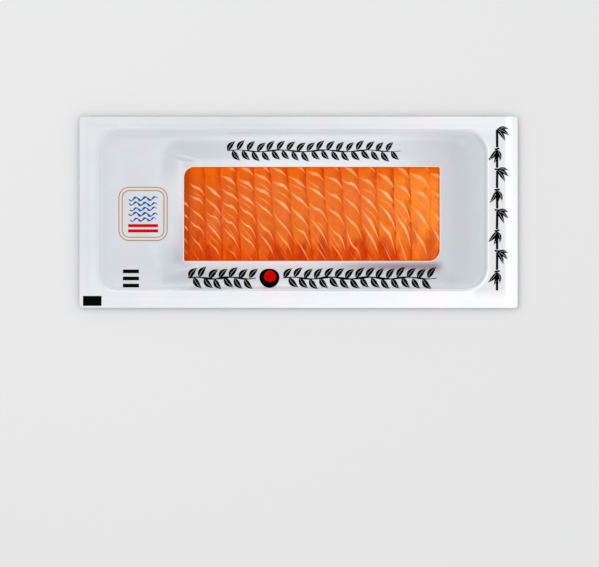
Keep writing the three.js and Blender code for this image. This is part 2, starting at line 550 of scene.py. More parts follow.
@dataclass(frozen=True)
class PackForm:
    """The sizes and surfaces that the tray, the slices and the films share."""

    pack: RoundedBox = box_mm((-150, 150), (-65.5, 65.5), (1.5, 1.5, 1.5, 1.5))
    pocket: RoundedBox = box_mm((-137.3, 129.6), (-53.6, 56.3), (16, 13.5, 13.5, 16))
    slab: RoundedBox = box_mm((-83, 103), (-39.3, 37.7), (3, 3, 3, 3))
    window: RoundedBox = box_mm((-78.2, 96.4), (-33.3, 30.8), (0.8, 7, 0.8, 7.5))
    tray_skin: float = 0.5 * MM
    pocket_depth: float = 2.9 * MM
    clearance: float = 0.3 * MM
    slab_height: float = 12 * MM
    wall_run: float = 1.8 * MM
    end_shares: Pair = (0.6, 0.55)
    end_ramps: Pair = (17 * MM, 27 * MM)
    edge_roll: float = 5 * MM
    edge_share: float = 0.5
    slice_count: int = 15
    first_edge: float = -74.6 * MM
    least_pitch: float = 10.85 * MM
    pitch_swell: float = 1.25 * MM
    edge_drift: float = 3.2 * MM
    edge_waver: float = 0.35 * MM
    waver_turn: float = 0.21 / MM
    waver_step: float = 1.7
    groove_dip: float = 0.4 * MM
    groove_share: float = 0.92
    groove_spread: float = 0.16
    groove_fade: float = 3 * MM

    @property
    def slab_bottom(self) -> float:
        """The height that the slices lie at."""
        return self.tray_skin + self.clearance

    @property
    def flange_top(self) -> float:
        """The height of the tray's flange."""
        return self.pocket_depth + self.tray_skin

    @property
    def middle_y(self) -> float:
        """The slab's middle line."""
        return sum(self.slab.y) / 2

    def rolled(self, distance: Points, width: float) -> Points:
        """A quarter-round roll: 1 beyond its width from an edge, falling to the edge's share at the edge."""
        into = 1.0 - np.clip(distance / width, 0.0, 1.0)
        return lerp(self.edge_share, 1.0, np.sqrt(1.0 - into * into))

    def slab_top(self, x: Points, y: Points) -> Points:
        """The slab's smooth upper surface, before the slices' steps.

        Args:
            x, y: The places.

        Returns:
            The surface's heights.
        """
        low_x, high_x = self.slab.x
        left = lerp(self.end_shares[0], 1.0, smoothstep(x, low_x, low_x + self.end_ramps[0]))
        right = lerp(1.0, self.end_shares[1], smoothstep(x, high_x - self.end_ramps[1], high_x))
        ends = self.rolled(np.minimum(x - low_x, high_x - x), self.edge_roll / 2)
        sides = self.rolled(np.minimum(y - self.slab.y[0], self.slab.y[1] - y), self.edge_roll)
        return self.slab_bottom + self.slab_height * left * right * ends * sides

    def slice_edges(self) -> Points:
        """Where the slices' edges lie on the middle line.

        Returns:
            Each slice's left edge, with the slab's right end last.
        """
        between = self.slice_count - 2
        swell = self.pitch_swell * np.sin(math.pi * (np.arange(between) + 0.5) / between)
        inner = self.first_edge + np.concatenate([[0.0], np.cumsum(self.least_pitch + swell)])
        return np.concatenate([[self.slab.x[0]], inner, [self.slab.x[1]]])

    def edge_at(self, index: int, y: Points) -> Points:
        """Where a slice's left edge lies across the pack.

        Args:
            index: The slice's number, from 0.
            y: Places along Y.

        Returns:
            The edge's place along X at each of them.
        """
        edge = self.slice_edges()[index]
        along = np.clip((edge - self.window.x[0]) / (self.window.x[1] - self.window.x[0]), 0.0, 1.0)
        across = (self.middle_y - y) / (self.slab.y[1] - self.middle_y)
        drift = self.edge_drift * math.sin(math.pi * along) * across
        return edge + drift + self.edge_waver * np.sin(self.waver_turn * y + self.waver_step * index)

    def groove(self, x: Points, y: Points) -> Points:
        """How far the films are drawn down into the grooves between the slices.

        Args:
            x, y: The places.

        Returns:
            The depth at each place.
        """
        edges = self.slice_edges()
        deepest = np.zeros(np.broadcast(x, y).shape)
        for index in range(1, self.slice_count):
            pitch = max(edges[index] - edges[index - 1], self.least_pitch)
            away = (x - self.edge_at(index, y)) / pitch + 1.0 - self.groove_share
            deepest = np.maximum(deepest, self.groove_dip * bell(away, self.groove_spread))
        return deepest * smoothstep(self.window.inside(x, y), 0.0, self.groove_fade)

    def film_on_slab(self, x: Points, y: Points) -> Points:
        """The height of the films' underside where they lie on the slab."""
        return self.slab_top(x, y) + self.clearance - self.groove(x, y)


@dataclass(frozen=True)
class FlangeRelief:
    """The low relief of the sealed flange and of the drawn film."""

    margin: Pair = (5.5 * MM, 6.5 * MM)
    margin_lift: float = 0.10 * MM
    ridge_x: float = 144.0 * MM
    ridge_width: float = 1.5 * MM
    ridge_lift: float = 0.42 * MM
    gutter_x: float = 141.4 * MM
    gutter_width: float = 0.8 * MM
    gutter_depth: float = 0.10 * MM
    wave_length: float = 46 * MM
    wave_lift: float = 0.10 * MM
    wave_seed: int = 11
    crinkle_length: float = 13 * MM
    crinkle_lift: float = 0.030 * MM
    crinkle_seed: int = 29
    crinkle_waves: int = 11

    def lift(self, form: PackForm, x: Points, y: Points) -> Points:
        """How far the relief lifts the sealed webs.

        Args:
            form: The pack's sizes.
            x, y: The places.

        Returns:
            The lift at each place.
        """
        margin = self.margin_lift * (1.0 - smoothstep(form.pack.inside(x, y), *self.margin))
        painted_highlight = self.ridge_lift * bell(x - self.ridge_x, self.ridge_width)
        gutter = self.gutter_depth * bell(x - self.gutter_x, self.gutter_width)
        waves = self.wave_lift * ripples(x, y, self.wave_seed, self.wave_length)
        crinkle = ripples(x, y, self.crinkle_seed, self.crinkle_length, self.crinkle_waves)
        return margin + painted_highlight - gutter + waves + self.crinkle_lift * crinkle


# ---- tray and films


@dataclass
class Tray:
    """The thermoformed web that the slab lies in: a shallow pocket and a flange round it."""

    form: PackForm
    relief: FlangeRelief
    finish: "TrayFinish"
    flange_rings: int = 9
    wall_rings: int = 8
    floor_rings: int = 12
    # The floor's last ring stops just short of the middle, and a flat face closes it.
    innermost: float = 0.98
    skin: float = 0.32 * MM
    # The tray's top lies this far below the solid's, clear of the film that is sealed to it.
    bond: float = 0.02 * MM

    def rings(self) -> tuple[Points, Points]:
        """The upper surface's rings from the pack's edge in to the pocket's middle.

        Returns:
            The rings' points as rows of x and y, and their heights.
        """
        form = self.form
        foot = form.pocket.outset(-form.wall_run)
        outer, pocket, inner = form.pack.ring(), form.pocket.ring(), foot.ring()
        middle = np.array([np.mean(foot.x), np.mean(foot.y)])
        rows, heights = [], []
        for share in np.linspace(0.0, 1.0, self.flange_rings):
            rows.append(lerp(outer, pocket, share))
            heights.append(form.flange_top + self.relief.lift(form, *rows[-1].T))
        for share in np.linspace(0.0, 1.0, self.wall_rings)[1:]:
            rows.append(lerp(pocket, inner, share))
            heights.append(lerp(heights[self.flange_rings - 1], form.tray_skin, smoothstep(share)))
        for share in np.linspace(0.0, 1.0, self.floor_rings)[1:]:
            rows.append(lerp(inner, middle, self.innermost * share))
            heights.append(np.full(len(inner), form.tray_skin))
        return np.array(rows), np.array(heights)

    def build(self) -> None:
        """Makes the tray, and hands it over for its CAD node."""
        flat, height = self.rings()
        rings, count = height.shape
        top = height - self.bond
        raised = np.clip((height - self.form.tray_skin) / self.form.pocket_depth, 0.0, 1.0)
        skin = lerp(self.form.tray_skin - self.bond, self.skin, raised)
        above, under = (np.dstack([flat, level]).reshape(-1, 3) for level in (top, top - skin))
        faces = grid_faces(rings, count, wrap=True)
        first = np.arange(count)
        following = (first + 1) % count
        rim = np.stack([first, first + len(above), following + len(above), following], axis=1)
        last = first + (rings - 1) * count
        closed = [*faces, *(faces[:, ::-1] + len(above)), *rim, last, (last + len(above))[::-1]]
        piece = mesh_object("tray_web", np.vstack([above, under]), closed, self.finish.material())
        hand_over(piece, ["bottom_web"])


@dataclass(frozen=True)
class FilmTints:
    """Where the printed film's colour changes, mostly by painted light and shade, in millimetres, from the
    pack's middle unless it is said.
    """

    # The painted highlight on the ridge is this much wider than its relief.
    ridge_spread: float = 1.3
    # A painted sheen, by the distance to the left of the window.
    sheen: float = 0.31
    sheen_beside: Streak = Streak(7, 7)
    sheen_across: Reach = Reach((-34, -14), (14, 34))
    # The film pales where it is drawn steeply, partly for its stretch and partly as painted light that evens
    # out the slopes' shading, but less over the slab's sides and at the pocket's right wall.
    least_run: float = 0.3 * MM
    tent_share: float = 0.5
    right_wall_ease: float = 0.6
    right_wall_ramp: Pair = (118, 126)
    # The flange pales towards its lower right as painted light, and a painted shadow keeps the strip beside
    # the ridge less pale.
    pale_middle: float = 0.42
    pale_runs: Pair = (0.3, 0.24)
    strip_pale: float = 0.33
    strip_along: Reach = Reach((118, 123), (141, 142.6))
    strip_end: Pair = (51, 60)
    # A painted pinkish shade beside the window's lower and left edge: the slices' shadow and painted
    # reflection on the film.
    pink_shade_below: Streak = Streak(3.8, 3.4)
    pink_shade_along: Reach = Reach((-10, 70), (92.4, 101.4))
    pink_shade_left: Streak = Streak(3, 5)
    pink_shade_left_share: float = 0.4
    pink_shade_across: Reach = Reach((-25, 20), (32, 38))
    # A painted highlight below the window, uneven, where the stretched film catches the light.
    glow_below: Streak = Streak(3.4, 2.4)
    glow_along: Reach = Reach((-76, -66), (-8, 44))
    glow_level: float = 0.75
    glow_unevenness: float = 0.35
    glow_length: float = 17 * MM
    glow_seed: int = 31

    def painted_highlight(self, form: PackForm, relief: FlangeRelief, x: Points, y: Points, panel: Points) -> Points:
        """Where the painted highlight lies, from 0 to 1: on the ridge, and as a sheen beside the window."""
        sheen = self.sheen * self.sheen_beside.share(form.window.x[0] - x) * self.sheen_across.share(y)
        painted_highlight = bell(x - relief.ridge_x, self.ridge_spread * relief.ridge_width) * (1.0 - panel)
        return np.clip(painted_highlight + sheen, 0.0, 1.0)

    def stretch_and_painted_light(self, flat: Points, height: Points, tent_from: int) -> Points:
        """How far the film is paled on its steep slopes: partly for its stretch, partly as painted light that
        evens out their shading.

        Args:
            flat: The rings' points as rows of x and y.
            height: The rings' heights.
            tent_from: The first ring over the slab's sides.

        Returns:
            The paling at each point, from 0 to 1.
        """
        run = np.hypot(*np.moveaxis(np.diff(flat, axis=0, prepend=flat[:1]), -1, 0))
        rise = np.abs(np.diff(height, axis=0, prepend=height[:1]))
        steepness = np.clip(rise / np.maximum(run, self.least_run), 0.0, 1.0)
        steepness[tent_from:] *= self.tent_share
        return steepness * (1.0 - self.right_wall_ease * smoothstep(flat[..., 0], *mm(*self.right_wall_ramp)))

    def pale(self, x: Points, y: Points) -> Points:
        """How pale the sealed flange is, from 0 to 1: painted light towards its lower right, and painted
        shadow in the strip beside the ridge.
        """
        slope = np.clip(self.pale_middle + x / self.pale_runs[0] - y / self.pale_runs[1], 0.0, 1.0)
        strip = self.strip_along.share(x) * (1.0 - smoothstep(np.abs(y), *mm(*self.strip_end)))
        return lerp(slope, self.strip_pale, strip)

    def painted_pink_shade(self, form: PackForm, x: Points, y: Points) -> Points:
        """How strong the painted pinkish shade of the slices is by the window, from 0 to 1."""
        beside = self.pink_shade_left.share(form.window.x[0] - x) * self.pink_shade_across.share(-y)
        below = self.pink_shade_below.share(form.window.y[0] - y) * self.pink_shade_along.share(x)
        return below + self.pink_shade_left_share * beside

    def glow(self, form: PackForm, x: Points, y: Points) -> Points:
        """How strong the painted highlight is on the stretched film below the window, from 0 to 1."""
        uneven = self.glow_level + self.glow_unevenness * ripples(x, y, self.glow_seed, self.glow_length)
        below = self.glow_below.share(form.window.y[0] - y) * self.glow_along.share(x)
        return below * np.clip(uneven, 0.0, 1.0)


class FilmBand(Enum):
    """The bands of the printed film, from the pack's edge in to the window."""

    FLANGE = 0
    WALL = 1
    FLOOR = 2
    CROWN = 3


@dataclass
class PrintedFilm:
    """The silver film from the pack's edge to the window, sealed down and drawn over the slab."""

    form: PackForm
    relief: FlangeRelief
    finish: "PrintedFilmFinish"
    tints: FilmTints = FilmTints()
    thickness: float = 0.13 * MM
    seal: float = 0.02 * MM
    shoulder_inset: float = 3.0 * MM
    skirt_run: float = 15.5 * MM
    least_panel: float = 2.0 * MM
    wall_run: float = 3.6 * MM
    flange_rings: int = 23
    wall_rings: int = 9
    floor_rings: int = 36
    crown_rings: int = 8
    # The floor's rings crowd together towards the slab.
    crowding: float = 1.6
    # The panel's colour is reached a third of the way down the wall.
    panel_gain: float = 3.0
    smoothing_rounds: int = 14
    least_step: float = 0.01 * MM
    slab_fade: Pair = (-2 * MM, 2 * MM)
    drape_length: float = 34 * MM
    drape_lift: float = 0.16 * MM
    drape_level: float = 0.6
    drape_seed: int = 5

    @property
    def foot(self) -> RoundedBox:
        """The outline of the pocket's floor under the film."""
        return self.form.pocket.outset(-self.wall_run)

    @property
    def shoulder(self) -> RoundedBox:
        """The outline on the slab from which the film falls to the floor."""
        return self.form.slab.outset(-self.shoulder_inset)

    @property
    def sealed(self) -> float:
        """The height of the sealed film's underside."""
        return self.form.flange_top + self.seal

    def level(self, band: FilmBand, share: float, flat: Points) -> Any:
        """The height of the film's underside on one ring.

        Args:
            band: The band that the ring is in.
            share: The ring's share of the band's width.
            flat: The ring's points as rows of x and y.

        Returns:
            One height, or a height for each point.
        """
        form = self.form
        if band is FilmBand.FLANGE:
            return self.sealed
        if band is FilmBand.WALL:
            return lerp(self.sealed, form.slab_bottom, smoothstep(share))
        if band is FilmBand.CROWN:
            return form.film_on_slab(*flat.T)
        outside = self.shoulder.outside(*flat.T)
        room = np.maximum(outside + self.foot.inside(*flat.T) - self.least_panel, self.least_panel)
        risen = np.clip(1.0 - outside / np.minimum(self.skirt_run, room), 0.0, 1.0)
        return lerp(form.slab_bottom, form.film_on_slab(*self.shoulder.ring().T), smoothstep(risen))

    def rings(self) -> tuple[Points, Points, Points]:
        """The film's rings from the pack's edge in to the window's.

        Returns:
            The rings' points as rows of x and y, the heights of their underside, and the panel's share.
        """
        form = self.form
        outlines = [box.ring() for box in (form.pack, form.pocket, self.foot, self.shoulder, form.window)]
        counts = (self.flange_rings, self.wall_rings, self.floor_rings, self.crown_rings)
        points = len(outlines[0])
        rows, heights, panels = [outlines[0]], [np.full(points, self.sealed)], [0.0]
        for band, count, start, end in zip(FilmBand, counts, outlines, outlines[1:]):
            crowding = self.crowding if band is FilmBand.FLOOR else 1.0
            for step in range(1, count + 1):
                share = 1.0 - (1.0 - step / count) ** crowding
                rows.append(lerp(start, end, share))
                heights.append(np.broadcast_to(self.level(band, share, rows[-1]), points))
                on_wall = min(self.panel_gain * share, 1.0)
                panels.append(on_wall if band is FilmBand.WALL else float(band is not FilmBand.FLANGE))
        flat = np.array(rows)
        panel = np.broadcast_to(np.array(panels)[:, None], flat.shape[:2])
        return flat, self.softened(flat, np.array(heights)), panel

    def softened(self, flat: Points, heights: Points) -> Points:
        """The rings' heights with the bends between wall, panel, skirt and crown eased.

        Args:
            flat: The rings' points as rows of x and y.
            heights: Their heights, which are changed in place.

        Returns:
            The eased heights.
        """
        runs = np.maximum(np.hypot(*np.moveaxis(np.diff(flat, axis=0), -1, 0)), self.least_step)
        first = self.flange_rings - 1
        before, after = runs[first - 1 : -1], runs[first:]
        for _ in range(self.smoothing_rounds):
            straight = (heights[first - 1 : -2] * after + heights[first + 1 :] * before) / (before + after)
            heights[first:-1] = (heights[first:-1] + straight) / 2.0
        return heights

    def low_relief(self, x: Points, y: Points, panel: Points) -> Points:
        """The film's waves, folds and tension creases.

        Args:
            x, y: The places.
            panel: Their shares of the panel over the pocket.

        Returns:
            The lift at each place.
        """
        free = 1.0 - smoothstep(self.form.slab.inside(x, y), *self.slab_fade)
        sealed = self.relief.lift(self.form, x, y) * (1.0 - panel)
        drape = self.drape_lift * (self.drape_level + ripples(x, y, self.drape_seed, self.drape_length))
        creases = sum(crease.lift(x, y) for crease in CREASES)
        return sealed + panel * free * np.maximum(drape, 0.0) + creases * free

    def build(self) -> Piece:
        """Makes the film with its relief, and hands it over for its CAD node.

        Returns:
            The finished film.
        """
        form, tints = self.form, self.tints
        flat, height, panel = self.rings()
        x, y = flat[..., 0], flat[..., 1]
        top = height + self.thickness + self.low_relief(x, y, panel)
        points, faces = np.dstack([flat, top]).reshape(-1, 3), grid_faces(*height.shape, wrap=True)
        piece = mesh_object("printed_film", points, faces, self.finish.material())
        layers = {
            "panel": panel,
            "painted_highlight": tints.painted_highlight(form, self.relief, x, y, panel),
            "stretch_and_painted_light": tints.stretch_and_painted_light(flat, height, self.flange_rings + self.wall_rings + 1),
            "pale": tints.pale(x, y),
            "painted_pink_shade": tints.painted_pink_shade(form, x, y),
            "glow": tints.glow(form, x, y),
        }
        store(piece, layers)
        add_solidify(piece, self.thickness)
        hand_over(piece, ["top_film"])
        return piece


@dataclass
class WindowFilm:
    """The clear film in the window, drawn down into the grooves between the slices."""

    form: PackForm
    finish: "ClearFilmFinish"
    thickness: float = 0.10 * MM
    column_step: float = 0.75 * MM
    rows: int = 84
    corner_steps: int = 14

    def corner_cut(self, radius: float, distance: Points) -> Points:
        """How far a rounded corner pulls the outline in, at a distance from the nearer end."""
        into = np.maximum(radius - distance, 0.0)
        return radius - np.sqrt(np.maximum(radius * radius - into * into, 0.0))

    def columns(self) -> Points:
        """The columns of points, closer together at the rounded corners.

        Returns:
            Their places along X.
        """
        window = self.form.window
        near = 1.0 - np.cos(np.linspace(0.0, math.pi / 2, self.corner_steps))
        left = window.x[0] + window.radii[1] * near
        right = window.x[1] - window.radii[3] * near[::-1]
        count = int((right[0] - left[-1]) / self.column_step)
        return np.concatenate([left, np.linspace(left[-1], right[0], count)[1:-1], right])

    def build(self) -> None:
        """Makes the clear film, and hands it over for its CAD node."""
        window = self.form.window
        x = self.columns()
        high_right, high_left, low_left, low_right = window.radii
        from_left, from_right = x - window.x[0], window.x[1] - x
        cut = self.corner_cut
        low = window.y[0] + np.maximum(cut(low_left, from_left), cut(low_right, from_right))
        high = window.y[1] - np.maximum(cut(high_left, from_left), cut(high_right, from_right))
        y = lerp(low, high, np.linspace(0.0, 1.0, self.rows)[:, None])
        x = np.broadcast_to(x, y.shape)
        z = self.form.film_on_slab(x, y) + self.thickness
        points = np.dstack([x, y, z]).reshape(-1, 3)
        piece = mesh_object("window_film", points, grid_faces(*y.shape), self.finish.material())
        add_solidify(piece, self.thickness)
        hand_over(piece, ["window_film"])


# ---- the slices


@dataclass(frozen=True)
class FatProfile:
    """How every line of fat swells, tapers and fades, as shares of its lane's width and of its own."""

    probe: float = 0.01
    # A line of fat fades out more slowly on its lower side than on its upper one.
    lower_side: float = 1.5
    swell_power: float = 1.3
    bend_power: int = 5
    least_width: float = 0.24
    least_strength: float = 0.45
    soft_edge: Pair = (0.25, 1.15)
    starting: Pair = (-0.03, 0.08)
    ending: Pair = (-0.06, 0.03)
    wedge: Reach = Reach((0.2, 1.2), (2.0, 7.5))
    wedge_run: Pair = (0.55, 0.97)


@dataclass(frozen=True)
class FatLine:
    """One line of fat across a slice's visible strip, from its left edge to its right."""

    start: float
    drop: float
    bend: float
    sway: float
    half_width: float
    strength: float
    begin: float
    reach: float
    lane: Pair = (0.0, 1.0)
    nick: float = 0.0
    late: float = 1.0
    profile: FatProfile = FatProfile()

    def centre(self, share: Any) -> Any:
        """The line's place along Y at each share of its lane's width."""
        bent = np.abs(share) ** self.profile.bend_power
        return self.start - self.drop * (lerp(share, bent, self.bend) + self.sway * np.sin(math.tau * share))

    def cover(self, strip_share: Points, y: Points, strip_width: float) -> Points:
        """How much of the line covers each place, from 0 to 1.

        Args:
            strip_share: The places' share of the strip's width.
            y: The places along Y.
            strip_width: The strip's width.

        Returns:
            The cover at each place.
        """
        profile, probe = self.profile, self.profile.probe
        lane_share = self.lane[1] - self.lane[0]
        share = (strip_share - self.lane[0]) / lane_share
        rise = self.centre(share + probe) - self.centre(share - probe)
        steepness = rise / (2 * probe * strip_width * lane_share)
        above = (y - self.centre(share)) / np.sqrt(1.0 + steepness**2)
        aside = np.where(above > 0.0, above, -above / profile.lower_side)
        span = np.clip((share - self.begin) / (self.reach - self.begin), 0.0, 1.0)
        swell = np.sin(math.pi * span**self.late) ** profile.swell_power
        taper = lerp(profile.least_width, 1.0, swell)
        soft = 1.0 - smoothstep(aside / (self.half_width * taper), *profile.soft_edge)
        ends = hump(share, np.add(self.begin, profile.starting), np.add(self.reach, profile.ending))
        return self.strength * lerp(profile.least_strength, 1.0, swell) * soft * ends

    def shade(self, strip_share: Points, y: Points) -> Points:
        """How strong the painted shade is in the wedge of flesh between the line's falling end and the
        strip's right edge.
        """
        share = (strip_share - self.lane[0]) / (self.lane[1] - self.lane[0])
        wedge = self.profile.wedge.share(y - self.centre(np.clip(share, 0.0, 1.0)))
        return self.nick * wedge * smoothstep(share, *self.profile.wedge_run) * (share <= 1.0)


@dataclass
class FatPattern:
    """The rule that places the lines of fat on every slice."""

    form: PackForm
    seed: int = 41
    depth: float = 64.1 * MM
    # How far below the window's top edge each slice's first line starts.
    first_lines: tuple[float, ...] = mm(
        14.9, 10.3, 12.0, 5.3, 7.2, 4.0, 9.1, 6.0, 2.3, 5.9, 8.6, 6.8, 3.6, 10.3, 4.6
    )
    spacing: Pair = (7.4 * MM, 11.5 * MM)
    spacing_power: float = 0.6
    spacing_draw: Pair = (0.90, 1.10)
    bare_top_share: float = 0.17
    # Some of the gaps between lines hold a second, much fainter one.
    faint_chance: float = 0.45
    faint_place: Pair = (0.4, 0.6)
    faint_strength: float = 0.42
    faint_width: float = 0.6
    # Only the first slice's right-hand part shows, so its lines start higher and fall less.
    first_start: float = 21.0 * MM
    first_drop_share: float = 0.62
    # The last slice shows whole, and a seam halfway across it starts a second set of lines.
    seam: float = 0.50
    second_first_line: float = 15.4 * MM
    # How far a line falls, and how much further low down and to the right.
    drop: float = 8.2 * MM
    drop_gain: float = 11 * MM
    drop_run: float = 1.3
    right_gain: float = 3.4 * MM
    right_start: float = 0.4
    steep_gain: float = 15 * MM
    steep_run: Pair = (0.2, 0.6)
    low_drop: float = 1.15
    drop_draw: Pair = (0.88, 1.14)
    bend: Pair = (0.06, 0.40)
    right_bend: float = 0.22
    sway: Pair = (-0.01, 0.085)
    # Half a line's width, at the top and at the bottom.
    half_width: Pair = (0.86 * MM, 0.44 * MM)
    right_swell: float = 0.56 * MM
    width_draw: Pair = (0.8, 1.25)
    # Lines are fainter at the left, by the window's top edge and far down.
    left_strength: float = 0.86
    top_strength: float = 0.75
    top_run: Pair = (2 * MM, 9 * MM)
    low_strength: float = 0.68
    low_from: float = 0.55
    strength_draw: Pair = (0.74, 1.0)
    # Where a line begins and how far it reaches, which draw together far down.
    begin: Pair = (-0.02, 0.05)
    reach: Pair = (0.92, 1.02)
    low_shift: float = 0.16
    nick: Pair = (0.45, 1.0)
    late: Pair = (0.85, 1.55)

    def lines(self, index: int) -> list[FatLine]:
        """The lines of fat of one slice.

        Args:
            index: The slice's number, from 0.

        Returns:
            The lines, from the top down in each lane.
        """
        draw = np.random.default_rng(self.seed + index)
        right_share = index / (self.form.slice_count - 1)
        first = self.first_lines[index]
        if index == 0:
            falling = self.lane_lines(draw, self.first_start, 0.0, (0.0, 1.0))
            return [replace(line, drop=self.first_drop_share * line.drop) for line in falling]
        if index < self.form.slice_count - 1:
            return self.lane_lines(draw, first, right_share, (0.0, 1.0))
        second = self.lane_lines(draw, self.second_first_line, right_share, (self.seam, 2 * self.seam))
        return [*self.lane_lines(draw, first, right_share, (0.0, self.seam)), *second]

    def lane_lines(self, draw: Draw, first: float, right_share: float, lane: Pair) -> list[FatLine]:
        """The lines of fat of one lane of a slice.

        Args:
            draw: The source of their unevenness.
            first: How far below the window's top edge the first full line starts.
            right_share: The slice's place along the slab.
            lane: The lane's shares of the slice's strip.

        Returns:
            The lines from the top down.
        """
        spacing = lerp(*self.spacing, right_share**self.spacing_power)
        down, found = first, []
        if right_share > self.bare_top_share:
            found.append(self.line(draw, first - spacing, right_share, lane))
        while down < self.depth:
            found.append(self.line(draw, down, right_share, lane))
            step = spacing * draw.uniform(*self.spacing_draw)
            if draw.random() < self.faint_chance:
                between = self.line(draw, down + step * draw.uniform(*self.faint_place), right_share, lane)
                strength = self.faint_strength * between.strength
                half_width = self.faint_width * between.half_width
                found.append(replace(between, strength=strength, half_width=half_width, nick=0.0))
            down += step
        return found

    def line(self, draw: Draw, down: float, right_share: float, lane: Pair) -> FatLine:
        """One line of fat.

        Args:
            draw: The source of its unevenness.
            down: How far below the window's top edge it starts.
            right_share: The slice's place along the slab.
            lane: The lane's shares of the slice's strip.

        Returns:
            The line.
        """
        deep = max(down, 0.0) / self.depth
        shallow = 1.0 - smoothstep(down, 0.0, self.depth)
        low = smoothstep(down, self.low_from * self.depth, self.depth)
        steep = smoothstep(down, *(share * self.depth for share in self.steep_run))
        drop = self.drop + self.drop_gain * (self.drop_run * deep) ** 2
        drop += right_share * (self.right_gain * (self.right_start + deep) + self.steep_gain * steep)
        half_width = lerp(*self.half_width, 1.0 - shallow) + self.right_swell * right_share * shallow
        strength = lerp(self.left_strength, 1.0, right_share)
        strength *= lerp(self.top_strength, 1.0, smoothstep(down, *self.top_run))
        return FatLine(
            start=self.form.window.y[1] - down,
            drop=drop * draw.uniform(*self.drop_draw) * lerp(1.0, self.low_drop, low),
            bend=draw.uniform(*self.bend) + self.right_bend * right_share * shallow,
            sway=draw.uniform(*self.sway),
            half_width=half_width * draw.uniform(*self.width_draw),
            strength=strength * draw.uniform(*self.strength_draw) * lerp(1.0, self.low_strength, low),
            begin=draw.uniform(*self.begin) + self.low_shift * low,
            reach=draw.uniform(*self.reach) - self.low_shift * low,
            lane=lane,
            nick=draw.uniform(*self.nick) ** 2,
            late=draw.uniform(*self.late),
        )


